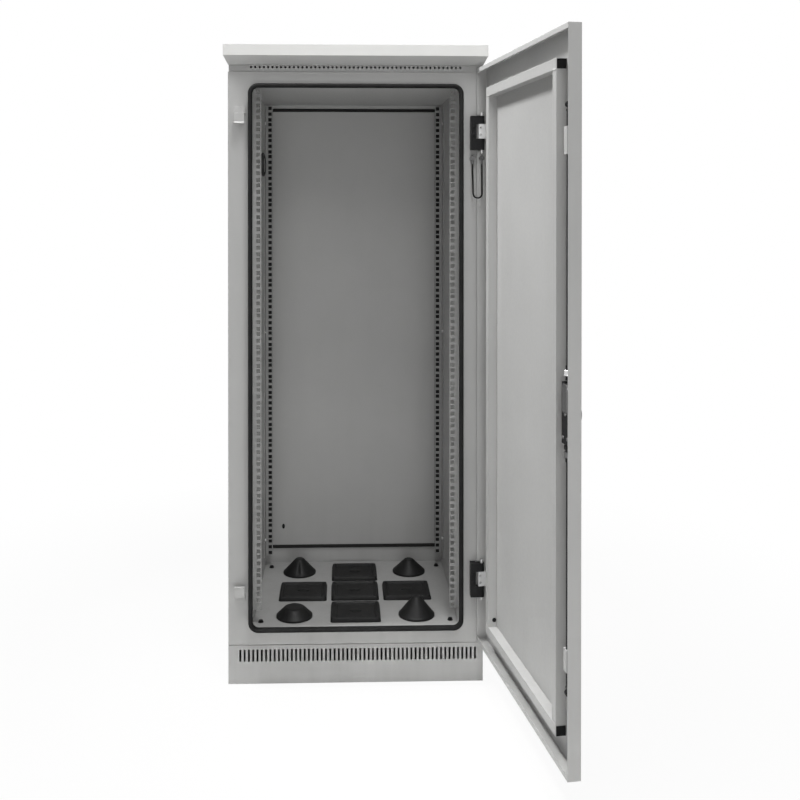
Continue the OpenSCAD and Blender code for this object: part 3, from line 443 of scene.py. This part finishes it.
class CabinetStage(bpy.types.PropertyGroup):
    """Camera and light of the studio"""
    lens: bpy.props.FloatProperty(
        name="Lens", description="Focal length on a 36 mm wide sensor, in millimetres", default=44.88)
    sky: bpy.props.FloatProperty(
        name="Sky", description="Strength of the even light from all round", default=0.15)
    key: bpy.props.FloatProperty(
        name="Key", description="Power of the large lamp overhead", unit="POWER", default=32.0)
    frame: bpy.props.FloatProperty(
        name="Frame", description="Power of the lamp above the doorway", unit="POWER", default=31.0)
    front: bpy.props.FloatProperty(
        name="Front", description="Power of the low lamp in front", unit="POWER", default=20.0)
    high: bpy.props.FloatProperty(
        name="High", description="Power of the high lamp in front", unit="POWER", default=12.0)
    door: bpy.props.FloatProperty(
        name="Door", description="Power of the narrow lamp above the open door", unit="POWER",
        default=9.5)
    rear: bpy.props.FloatProperty(
        name="Rear", description="Power of each of the two lamps behind", unit="POWER", default=36.0)


MATERIALS = {}


def finish(slot):
    """The material of a slot of the record, or of a finish of some pieces' own; all are made once."""
    if not MATERIALS:
        colours = bpy.context.scene.cabinet_finish
        MATERIALS.update({
            "grey_powder_coat": powder_coat("powder_coat_light_grey", colours.body_colour,
                                            colours.dust),
            # The rails' mid grey stands in for the shade they sit in inside the cabinet: painted shade
            "rail_painted_shade_coat": powder_coat("powder_coat_mid_grey", linear("#9c9c9b")[:3],
                                     0.5 * colours.dust),
            # The roof cap's faces that look down turn grey: painted shade under its overhang
            "white_powder_coat": powder_coat("powder_coat_white", colours.roof_colour,
                                             0.3 * colours.dust, "#c4c4c3"),
            "sealing_rubber": moulded_rubber("extruded_epdm_rubber", "#0f0f0f", 0.68, 1.6),
            "entry_rubber": moulded_rubber("moulded_neoprene_rubber", "#1c1c1c", 0.46, 2.2),
            "black_steel": black_finish("black_coated_steel", "#171718", 0.42, 1.5),
            "black_plastic": black_finish("moulded_black_nylon", "#141415", 0.5, 1.0),
            "lead_sheath": black_finish("black_pvc_sheath", "#151515", 0.4, 0.8),
            "zinc_steel": plated_steel("bright_zinc_plated_steel", "#d0d0d0", 0.3),
            "satin_zinc": plated_steel("satin_zinc_plated_steel", "#e6e6e6", 0.55),
            "cast_zinc": plated_steel("dull_cast_zinc", "#6d6d6d", 0.48),
            "foam_strip": moulded_rubber("closed_cell_foam_strip", "#222221", 0.8, 2.0),
        })
    return MATERIALS[slot]


# Operators

class CABINET_OT_stage(bpy.types.Operator):
    """Sets up the camera, the pale floor and the soft studio light"""
    bl_idname = "cabinet.stage"
    bl_label = "Studio"

    sensor_mm = 36.0
    camera_place = (-0.0295, -2.5806, 1.1075)
    # How far the camera looks down and to the right, in degrees
    look_down, look_right = 0.379, 1.735
    # The photograph is a trimmed frame, so its middle is off the lens axis
    frame_shift = (0.033, -0.2295)
    # Each lamp's place, the point it faces, its sides, its spread in degrees and its power's setting
    lamps = (("key_lamp", (-0.3, -0.9, 3.8), (0.0, -0.3, 0.6), (2.6, 2.2), 180, "key"),
             ("frame_lamp", (0.25, -1.3, 3.6), (0.2, -0.3, 0.6), (0.5, 0.8), 180, "frame"),
             ("front_lamp", (0.4, -3.4, 0.3), (0.1, -0.2, 0.3), (2.4, 0.5), 180, "front"),
             ("high_lamp", (0.2, -3.3, 3.2), (0.0, 0.0, 0.6), (0.9, 0.9), 180, "high"),
             ("door_lamp", (-0.9, -0.36, 3.2), (0.33, -0.55, 0.7), (0.4, 0.4), 60, "door"),
             ("rear_left_lamp", (-2.6, 2.4, 1.3), (-0.2, 0.1, 0.8), (1.4, 1.4), 180, "rear"),
             ("rear_right_lamp", (2.9, 1.6, 1.3), (0.3, 0.0, 0.8), (1.4, 1.4), 180, "rear"))
    floor_radius = 9.0
    # The floor lies just under the plinth's feet, so that the two don't flicker
    floor_height = -0.5 * MM
    # Half of the ground inside the plinth, across and from front to back
    plinth_half = (0.29, 0.24)

    def execute(self, context):
        scene = context.scene
        settings = scene.cabinet_stage
        scene.view_settings.view_transform = "Standard"
        self.add_camera(scene, settings)
        self.add_lamps(scene, settings)
        self.add_floor(scene)
        self.add_world(scene, settings)
        return {"FINISHED"}

    def add_camera(self, scene, settings):
        """The camera at the photograph's viewing angle."""
        camera = bpy.data.objects.new("camera", bpy.data.cameras.new("camera"))
        camera.data.sensor_width = self.sensor_mm
        camera.data.lens = settings.lens
        camera.data.shift_x, camera.data.shift_y = self.frame_shift
        camera.location = self.camera_place
        camera.rotation_euler = (math.radians(90 - self.look_down), 0.0,
                                 math.radians(-self.look_right))
        scene.collection.objects.link(camera)
        scene.camera = camera

    def add_lamps(self, scene, settings):
        """Soft rectangular lamps, each turned to face its point."""
        for name, place, aim, size, spread, power in self.lamps:
            lamp = bpy.data.lights.new(name, "AREA")
            lamp.shape = "RECTANGLE"
            lamp.size, lamp.size_y = size
            lamp.spread = math.radians(spread)
            lamp.energy = getattr(settings, power)
            holder = bpy.data.objects.new(name, lamp)
            holder.location = place
            towards = np.array(aim) - np.array(place)
            holder.rotation_euler = (math.acos(-towards[2] / np.linalg.norm(towards)), 0.0,
                                     math.atan2(towards[1], towards[0]) - math.pi / 2)
            scene.collection.objects.link(holder)

        # The narrow lamp leaves out the roof, as a studio's flag would, so that its top doesn't clip
        flagged = bpy.data.collections.new("flagged_roof")
        for node in ("roof_cap", "roof_bolts"):
            flagged.objects.link(frame["nodes"][node])
        for member in flagged.collection_objects:
            member.light_linking.link_state = "EXCLUDE"
        scene.objects["door_lamp"].light_linking.receiver_collection = flagged

    def add_floor(self, scene):
        """A flat disc under the cabinet, seen as white and still catching the cabinet's shadow."""
        rings, turns = (0.0, 2.0, self.floor_radius), 64
        disc = lathe([(ring, self.floor_height) for ring in rings], turns)
        mesh = bpy.data.meshes.new("studio_floor")
        mesh.from_pydata(disc.reshape(-1, 3).tolist(), [], grid_faces(len(rings), turns).tolist())
        floor = bpy.data.objects.new("studio_floor", mesh)
        scene.collection.objects.link(floor)
        material, tree, output, place = new_material("white_studio_floor")
        # The whitening is whole from 1.6 m away, less near the cabinet so that its shadow stays, and
        # none on the ground inside the plinth
        away = add(tree, "ShaderNodeVectorMath", links={0: place}, operation="LENGTH")
        share = add(tree, "ShaderNodeMapRange",
                    {"From Min": 0.8, "From Max": 1.6, "To Min": 0.93, "To Max": 1.0},
                    {"Value": away.outputs["Value"]})
        reach = add(tree, "ShaderNodeVectorMath",
                    {1: (1 / self.plinth_half[0], 1 / self.plinth_half[1], 0.0)}, {0: place},
                    operation="MULTIPLY")
        size = add(tree, "ShaderNodeVectorMath", links={0: reach.outputs["Vector"]},
                   operation="ABSOLUTE")
        sides = add(tree, "ShaderNodeSeparateXYZ", links={"Vector": size.outputs["Vector"]})
        further = add(tree, "ShaderNodeMath", links={0: sides.outputs["X"], 1: sides.outputs["Y"]},
                      operation="MAXIMUM")
        outside = add(tree, "ShaderNodeMath", {1: 1.0}, {0: further.outputs["Value"]},
                      operation="GREATER_THAN")
        open_floor = add(tree, "ShaderNodeMath",
                         links={0: share.outputs["Result"], 1: outside.outputs["Value"]},
                         operation="MULTIPLY")
        seen = self.seen_directly(tree, open_floor.outputs["Value"])
        matt = add(tree, "ShaderNodeBsdfDiffuse", {"Color": (0.82, 0.82, 0.81, 1.0)})
        white = add(tree, "ShaderNodeEmission", {"Color": (1.0, 1.0, 1.0, 1.0), "Strength": 1.0})
        mixed = add(tree, "ShaderNodeMixShader",
                    links={0: seen, 1: matt.outputs[0], 2: white.outputs[0]})
        tree.links.new(mixed.outputs[0], output.inputs["Surface"])
        mesh.materials.append(material)

    def add_world(self, scene, settings):
        """Even dim light from all round, seen as white."""
        world = bpy.data.worlds.new("white_studio")
        world.use_nodes = True
        tree = world.node_tree
        tree.nodes.clear()
        even = add(tree, "ShaderNodeBackground",
                   {"Color": (1.0, 1.0, 1.0, 1.0), "Strength": settings.sky})
        white = add(tree, "ShaderNodeBackground", {"Color": (1.0, 1.0, 1.0, 1.0), "Strength": 1.0})
        mixed = add(tree, "ShaderNodeMixShader",
                    links={0: self.seen_directly(tree), 1: even.outputs[0], 2: white.outputs[0]})
        add(tree, "ShaderNodeOutputWorld", links={"Surface": mixed.outputs[0]})
        scene.world = world

    @staticmethod
    def seen_directly(tree, share=None):
        """One, or a share, for what is seen directly, mirrored or through glass, and otherwise none."""
        path = add(tree, "ShaderNodeLightPath")
        either = add(tree, "ShaderNodeMath",
                     links={0: path.outputs["Is Camera Ray"], 1: path.outputs["Is Glossy Ray"]},
                     operation="MAXIMUM")
        any_of = add(tree, "ShaderNodeMath",
                     links={0: either.outputs[0], 1: path.outputs["Is Transmission Ray"]},
                     operation="MAXIMUM")
        if share is None:
            return any_of.outputs[0]
        part = add(tree, "ShaderNodeMath", links={0: any_of.outputs[0], 1: share}, operation="MULTIPLY")
        return part.outputs[0]


class CABINET_OT_earth_lead(bpy.types.Operator):
    """Hangs the earth lead between the frame's stud and the door's stud"""
    bl_idname = "cabinet.earth_lead"
    bl_label = "Earth lead"

    # The solid's route, in millimetres, from the frame's stud to the hinge axis. Its loop is a half
    # circle of 10.5 mm, which keeps within 2 mm of the solid's narrower one and bends less sharply
    route_mm = [(272, -259, 1214), (272, -260, 1200), (272, -263, 1182), (272, -267, 1164),
                (272, -270, 1145.5), (273.4, -270.5, 1140.3), (277.2, -271, 1136.4),
                (282.5, -271, 1135), (287.8, -270.5, 1136.4), (291.6, -269, 1140.3),
                (293, -268, 1145.5), (293, -266, 1164), (293, -264.5, 1182), (293, -264, 1200),
                (293, -264, 1214)]
    route_points = 61
    sides = 16

    def execute(self, context):
        """A circle carried along the route, square to it, with a flat disc at each end."""
        radius = context.scene.cabinet_sizes.lead_diameter / 2
        path = smooth_route(np.array(self.route_mm) * MM, self.route_points)
        along = np.gradient(path, axis=0)
        along /= np.linalg.norm(along, axis=1)[:, None]
        across = np.cross(along, (0.0, 1.0, 0.0))
        across /= np.linalg.norm(across, axis=1)[:, None]
        angle = np.linspace(0, 2 * math.pi, self.sides, endpoint=False)
        ring = radius * np.stack([np.cos(angle), np.sin(angle)], -1)
        tube = carried(path, across, np.cross(along, across), ring)
        ends = [np.stack([np.repeat(tube[k].mean(0)[None], self.sides, axis=0), tube[k]])
                for k in (0, -1)]
        lead = make_piece("earth_lead_cord", [tube, *ends], "cabinet", finish("lead_sheath"))
        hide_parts("earth_lead")
        return {"FINISHED"}


class CABINET_OT_finishes(bpy.types.Operator):
    """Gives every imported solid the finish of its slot"""
    bl_idname = "cabinet.finishes"
    bl_label = "Finishes"

    # Pieces whose plating is duller or more satin than their slot's, and the rails' darker grey, which
    # is painted shade
    own_finish = {"earth_stud_frame": "cast_zinc", "earth_stud_door": "cast_zinc",
                  "lock_housing": "cast_zinc", "hinge_leaf_upper": "satin_zinc",
                  "hinge_leaf_lower": "satin_zinc",
                  "rail_front_left": "rail_painted_shade_coat", "rail_front_right": "rail_painted_shade_coat",
                  "rail_rear_left": "rail_painted_shade_coat", "rail_rear_right": "rail_painted_shade_coat"}

    def execute(self, context):
        for part in frame["record"]["subparts"]:
            solid = frame["nodes"][part["node"]]
            solid.data.materials.clear()
            look = self.own_finish.get(part["node"], part["material_slot"])
            solid.data.materials.append(finish(look))
        return {"FINISHED"}


class CABINET_OT_seals(bpy.types.Operator):
    """Fits the door's bulb gasket and the rear panel's strip"""
    bl_idname = "cabinet.seals"
    bl_label = "Seals"

    def execute(self, context):
        rubber = finish("sealing_rubber")
        low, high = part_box("door_gasket")
        half = 5 * MM
        depth = high.y - low.y
        # Its corners follow the collar's, whose radius is 19 mm at the middle of its sheet
        corner = 19 * MM
        path, outward = rounded_loop(high.x - half, low.z + half, high.z - half, corner)
        path[:, 1] = high.y
        # A clip with a lip at its foot, a neck, and a round bulb that meets the door
        bulb = 4.7 * MM
        profile = np.concatenate([
            [(-4.4 * MM, 0.0), (4.4 * MM, 0.0), (half, 0.7 * MM), (half, 4.2 * MM),
             (4.4 * MM, 5.2 * MM), (3.3 * MM, 5.9 * MM)],
            arc((0.0, depth - bulb), bulb, -38, 218, 20),
            [(-3.3 * MM, 5.9 * MM), (-4.4 * MM, 5.2 * MM), (-half, 4.2 * MM), (-half, 0.7 * MM)]])
        loop = carried(path, outward, (0.0, -1.0, 0.0), profile)
        gasket = make_piece("door_bulb_gasket", [loop], "cabinet", rubber, 55,
                            ring=True)
        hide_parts("door_gasket")

        low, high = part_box("rear_seal")
        half = 4 * MM
        # The strip's uprights grip the frame's edge, so that half of their width shows
        corner = 5 * MM
        path, outward = rounded_loop(high.x, low.z + half, high.z - half, corner, 6)
        path[:, 1] = high.y
        profile = np.concatenate([[(-half, 0.0), (half, 0.0)],
                                  arc((0.0, high.y - low.y - half), half, 0, 180, 12)])
        loop = carried(path, outward, (0.0, -1.0, 0.0), profile)
        strip = make_piece("rear_seal_strip", [loop], "cabinet", finish("foam_strip"),
                           50, ring=True)
        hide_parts("rear_seal")

        # Black sheets behind the rear rails: painted shade that makes their holes dark
        strips = []
        edge = [(0.0, 0.0), (0.0, 0.8), (0.4, 1.2), (6.0, 1.2)]
        for node in ("rail_rear_left", "rail_rear_right"):
            low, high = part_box(node)
            middle = ((low.x + high.x) / 2, high.y, (low.z + high.z) / 2)
            # Each sheet is painted shade seen through its rail's holes
            hole_shade_sheet = raised_panel((high.x - low.x) / 2, (high.z - low.z) / 2, edge, 2 * MM)
            strips.append(set_along(hole_shade_sheet, (0, 1, 0), middle))
        make_piece("rear_rail_backing", strips, "cabinet", rubber, 40)
        return {"FINISHED"}


class CABINET_OT_cable_entries(bpy.types.Operator):
    """Sets the rubber cones and membrane plates into the floor"""
    bl_idname = "cabinet.cable_entries"
    bl_label = "Cable entries"

    # Each cone, whether it has a slit, and how blunt it is for each share of height that it lacks
    cones = (("cone_front_left", 0, 0.76), ("cone_front_right", 0, 0.76),
             ("cone_rear_left", 1, 0.2), ("cone_rear_right", 0, 0.2))
    # The top of a whole cone, as a share of its base
    whole_top = 0.24
    plates = ("plate_front", "plate_middle", "plate_rear", "plate_left", "plate_right")

    def execute(self, context):
        rubber = finish("entry_rubber")
        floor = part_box("floor_plate")[1].z
        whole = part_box("cone_front_right")[1].z - floor
        for node, slit, blunt in self.cones:
            low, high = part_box(node)
            base = (high.x - low.x) / 2
            height = high.z - floor
            # A trimmed cone is wider at its top, and most so where it was cut and not moulded lower
            top = base * (self.whole_top + blunt * (1 - height / whole))
            centre = np.array([(low.x + high.x) / 2, (low.y + high.y) / 2, floor])
            cone = self.cone(base, top, height, slit) + centre
            piece = make_piece(node + "_rubber", [cone], "cabinet", rubber, 35)
            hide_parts(node)
        for node in self.plates:
            low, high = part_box(node)
            centre = np.array([(low.x + high.x) / 2, (low.y + high.y) / 2, floor])
            top = (high.z - floor) / MM
            # Skirt, rim, sunk membrane and the membrane's bead
            steps = [(0.0, 0.0), (0.0, 1.0), (0.6, 3.0), (2.2, top - 1.2), (2.8, top - 0.4),
                     (3.8, top), (7.0, top), (8.0, top - 0.5), (9.4, top - 2.4), (10.4, top - 3.0),
                     (13.4, top - 3.0), (14.2, top - 2.0), (16.0, top - 2.0), (16.8, top - 2.7),
                     (26.0, top - 2.8), (40.0, top - 2.8), (54.0, top - 2.8)]
            corner = 7 * MM
            plate = raised_panel((high.x - low.x) / 2, (high.y - low.y) / 2, steps, corner) + centre
            # An oval boss in the middle of the membrane, where a cable is pushed through
            boss = lathe(np.array([(15, 0.0), (14, 1.4), (11, 2.0), (0, 2.2)]) * MM, 32)
            boss = boss * (1.0, 0.55, 1.0) + centre + (0.0, 0.0, (top - 2.7) * MM)
            piece = make_piece(node + "_rubber", [plate, boss], "cabinet", rubber, 35)
            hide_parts(node)
        return {"FINISHED"}

    @staticmethod
    def cone(base, top, height, slit):
        """A rounded cone on an upright edge, closed below.

        It is a profile turned about +Z. A slit is a shallow groove down its near side, where the
        radius drops by a bell curve of the angle.
        """
        side = np.linspace(0, 1, 14)[:, None]
        # The foot of the sloping side
        foot = (base - 2.6 * MM, 6.4 * MM)
        # The top's rounding is wider on a trimmed cone
        soft = max(2.4 * MM, 0.4 * top)
        # The rounding starts where it is in line with the side
        steep = math.degrees(math.atan2(height - foot[1], base - top))
        rounding = arc((top - 0.72 * soft, height - soft), soft, 90 - steep, 90, 7)
        profile = np.concatenate([
            [(0.0, -5 * MM), (base - 12 * MM, -5 * MM), (base - 8 * MM, -2 * MM),
             (base - 8 * MM, 0.0), (base, 0.0), (base, 3.2 * MM)],
            arc((base - 1.6 * MM, 3.6 * MM), 1.6 * MM, 0, 50, 4),
            (1 - side) * foot + side * rounding[0],
            rounding[1:],
            [(0.3 * top, height - 0.2 * MM), (0.0, height - 0.3 * MM)]])
        turns = 56
        surface = lathe(profile, turns)
        angle = np.linspace(0, 2 * math.pi, turns, endpoint=False)
        slit_width, slit_depth = 0.09, 0.09
        near = np.exp(-((angle - 1.5 * math.pi) / slit_width) ** 2) * slit
        on_side = (surface[..., 2] > 8 * MM) & (surface[..., 2] < height - 4 * MM)
        inward = 1 - slit_depth * near[None] * on_side
        surface[..., :2] *= inward[..., None]
        return surface


class CABINET_OT_fixings(bpy.types.Operator):
    """Adds the screws of the hinges and rear panel and the rivets of the lock"""
    bl_idname = "cabinet.fixings"
    bl_label = "Screws and rivets"

    def execute(self, context):
        sizes = context.scene.cabinet_sizes
        zinc = finish("zinc_steel")
        screw = screw_head(sizes.screw_diameter, 2.2 * MM)
        heads = []
        for node in ("hinge_bracket_upper", "hinge_bracket_lower"):
            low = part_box(node)[0]
            # Two screws, 34 and 52 mm up the bracket
            for rise in (34, 52):
                place = (low.x + 6.5 * MM, low.y, low.z + rise * MM)
                heads.append(set_along(screw, (0, -1, 0), place))
        make_piece("hinge_bracket_screws", heads, "cabinet", finish("black_steel"), 30)

        # Six screws on washers, each in the middle of its solid
        low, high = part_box("rear_panel_screws")
        radius = 6 * MM
        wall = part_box("rear_panel")[1].y
        washer = lathe(np.array([(0.0, 1.2), (7.4, 1.2), (8.0, 0.8), (8.0, 0.0)]) * MM, 32)
        head = screw_head(2 * radius, 3 * MM) + (0.0, 0.0, 0.8 * MM)
        surfaces = []
        for x in (low.x + radius, high.x - radius):
            for z in (low.z + radius, (low.z + high.z) / 2, high.z - radius):
                surfaces += [set_along(shape, (0, 1, 0), (x, wall, z)) for shape in (washer, head)]
        screws = make_piece("rear_panel_screw_heads", surfaces, "cabinet", zinc, 30)
        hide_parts("rear_panel_screws")

        # Rivets through the lock case's face and the ears of the rod guides, on the closed door
        rivet = rivet_head(sizes.rivet_diameter, 1.8 * MM)
        places = [(LOCK[0] + dx * MM, LOCK_FACE_Y, LOCK[2] + dz * MM)
                  for dx in (-11, 11) for dz in (-44, 44)]
        # Each guide's foot from its roller's axis, and its height, in millimetres; the ears are 2 mm
        # thick, and their rivets are 6 mm beyond the guide's ends
        for roller, rise, height in (("upper_roller_spin", -89, 50), ("lower_roller_spin", 39, 40)):
            low_z = JOINTS[roller]["pos_m"][2] + rise * MM
            places += [(LOCK[0], SKIN_IN_Y + 2 * MM, low_z - 6 * MM),
                       (LOCK[0], SKIN_IN_Y + 2 * MM, low_z + (height + 6) * MM)]
        surfaces = [on_door(set_along(rivet, (0, 1, 0), place)) for place in places]
        make_piece("lock_rivets", surfaces, "door", finish("cast_zinc"), 30)
        return {"FINISHED"}


class CABINET_OT_lock_trim(bpy.types.Operator):
    """Adds the lock's cast cover and the rods' clamping nuts"""
    bl_idname = "cabinet.lock_trim"
    bl_label = "Lock trim"

    def execute(self, context):
        # Cast cover over the upper half of the lock case
        steps = [(0.0, 0.0), (0.0, 1.2), (0.3, 1.8), (1.0, 2.2), (3.5, 2.4), (4.5, 2.0), (7.0, 1.9),
                 (12.0, 1.9)]
        cover = raised_panel(11 * MM, 26 * MM, steps, 4 * MM)
        place = (LOCK[0], LOCK_FACE_Y, LOCK[2] + 27 * MM)
        cover = on_door(set_along(cover, (0, 1, 0), place))
        make_piece("lock_cover", [cover], "door", finish("cast_zinc"), 35)
        # Hexagon nuts with a thin flange, on the sleeves of the two rods, 68 mm from the lock's axis
        ring = [(5.4, 0.0), (9.0, 0.0), (9.0, 1.4), (8.0, 1.8), (8.0, 9.2), (7.2, 10.0),
                (5.4, 10.0), (5.4, 0.0)]
        for body, up in (("rod_up", 1), ("rod_down", -1)):
            place = (LOCK[0], LOCK[1], LOCK[2] + up * 68 * MM)
            nut = set_along(lathe(np.array(ring) * MM, 6), (0, 0, up), place)
            # The upper nut is bright zinc and the lower dull cast zinc: a painted highlight and painted
            # shade on two like nuts
            zinc = finish("zinc_steel" if up > 0 else "cast_zinc")
            make_piece(body + "_nut", [on_door(nut)], body, zinc, 25)
        return {"FINISHED"}


class CABINET_OT_wall_plugs(bpy.types.Operator):
    """Adds the rubber grommet in the left wall and the small plug in the rear panel"""
    bl_idname = "cabinet.wall_plugs"
    bl_label = "Wall plugs"

    # The grommet's depth and height on the wall, and the plug's width and height on the rear panel
    grommet_place = (0.11, 1.229)
    plug_place = (-0.198, 0.218)

    def execute(self, context):
        # Oval cable grommet, its rim proud of the wall and its membrane sunk
        oval = lathe([(0.0, 0.8), (0.78, 0.8), (0.83, 3.2), (0.9, 3.8), (0.97, 3.0), (1.0, 0.0)], 48)
        oval = oval * (75 * MM, 32 * MM, MM)
        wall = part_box("inner_wall_left")[1].x
        oval = set_along(oval, (1, 0, 0), (wall, *self.grommet_place))
        make_piece("wall_grommet", [oval], "cabinet", finish("entry_rubber"), 40)
        # Low domed plug, 8 mm across and 14 mm tall
        dot = lathe([(0.0, 0.5), (0.6, 0.6), (0.9, 0.4), (1.0, 0.0)], 24) * (4 * MM, 7 * MM, 2 * MM)
        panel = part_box("rear_panel")[0].y
        dot = set_along(dot, (0, -1, 0), (self.plug_place[0], panel, self.plug_place[1]))
        make_piece("rear_panel_plug", [dot], "cabinet", finish("black_plastic"), 40)
        return {"FINISHED"}


class CABINET_OT_door_fittings(bpy.types.Operator):
    """Adds the stiffener's weld beads and its drain plug"""
    bl_idname = "cabinet.door_fittings"
    bl_label = "Door fittings"

    def execute(self, context):
        # Rippled beads across the tubes' faces, where the uprights meet the cross tubes: a flat oval
        # carried along a line, whose size ripples nine times and closes at both ends
        beads = []
        count = 41
        t = np.linspace(0, 1, count)
        ripple = 1.3 + 0.25 * np.cos(t * 2 * math.pi * 9)
        swell = (ripple * np.sqrt(np.clip(1 - (2 * t - 1) ** 8, 0, 1)))[:, None, None] * MM
        ring = arc((0.0, 0.0), 1.0, 0, 337.5, 16)
        oval = (ring[None, :, :1] * np.array([0.0, 0.0, 1.4])
                + ring[None, :, 1:] * np.array([0.0, 0.6, 0.0]))
        for x in (TUBE_INNER_X, TUBE_INNER_LOCK_X - TUBE_SIDE):
            for z in (TUBE_BOTTOM_Z, TUBE_TOP_Z):
                path = np.stack([x + TUBE_SIDE * t, np.full(count, TUBE_FACE_Y), np.full(count, z)], -1)
                beads.append(on_door(path[:, None] + swell * oval))
        make_piece("stiffener_welds", beads, "door", finish("grey_powder_coat"), 60)

        # A rubber plug in the hinge-side upright's drain hole, on its inner face
        profile = [(0.0, 1.0), (2.2, 1.2), (4.2, 1.0), (4.8, 0.4), (4.8, 0.0)]
        place = (TUBE_INNER_X, SKIN_IN_Y + 6 * MM, TUBE_BOTTOM_Z + 16 * MM)
        plug = on_door(set_along(lathe(np.array(profile) * MM, 24), (-1, 0, 0), place))
        make_piece("stiffener_drain_plug", [plug], "door", finish("black_plastic"))
        return {"FINISHED"}


class CABINET_PT_panel(bpy.types.Panel):
    """Lists the cabinet's settings and pieces"""
    bl_label = "Roadside cabinet"
    bl_idname = "CABINET_PT_panel"
    bl_space_type = "VIEW_3D"
    bl_region_type = "UI"
    bl_category = "Cabinet"

    def draw(self, context):
        scene = context.scene
        for group in (scene.cabinet_finish, scene.cabinet_sizes, scene.cabinet_stage):
            box = self.layout.box()
            for name in group.bl_rna.properties.keys():
                if name not in ("rna_type", "name"):
                    box.prop(group, name)
        for operator in OPERATORS:
            self.layout.operator(operator.bl_idname)


OPERATORS = (CABINET_OT_stage, CABINET_OT_earth_lead, CABINET_OT_finishes, CABINET_OT_seals,
             CABINET_OT_cable_entries, CABINET_OT_fixings, CABINET_OT_lock_trim, CABINET_OT_wall_plugs,
             CABINET_OT_door_fittings)
CLASSES = (CabinetFinish, CabinetSizes, CabinetStage) + OPERATORS + (CABINET_PT_panel,)


def register():
    for cls in CLASSES:
        bpy.utils.register_class(cls)
    bpy.types.Scene.cabinet_finish = bpy.props.PointerProperty(type=CabinetFinish)
    bpy.types.Scene.cabinet_sizes = bpy.props.PointerProperty(type=CabinetSizes)
    bpy.types.Scene.cabinet_stage = bpy.props.PointerProperty(type=CabinetStage)


def unregister():
    del bpy.types.Scene.cabinet_finish, bpy.types.Scene.cabinet_sizes, bpy.types.Scene.cabinet_stage
    for cls in reversed(CLASSES):
        bpy.utils.unregister_class(cls)


def main():
    register()
    bpy.ops.cabinet.stage()
    bpy.ops.cabinet.earth_lead()
    bpy.ops.cabinet.finishes()
    bpy.ops.cabinet.seals()
    bpy.ops.cabinet.cable_entries()
    bpy.ops.cabinet.fixings()
    bpy.ops.cabinet.lock_trim()
    bpy.ops.cabinet.wall_plugs()
    bpy.ops.cabinet.door_fittings()


if __name__ == "__main__":
    main()
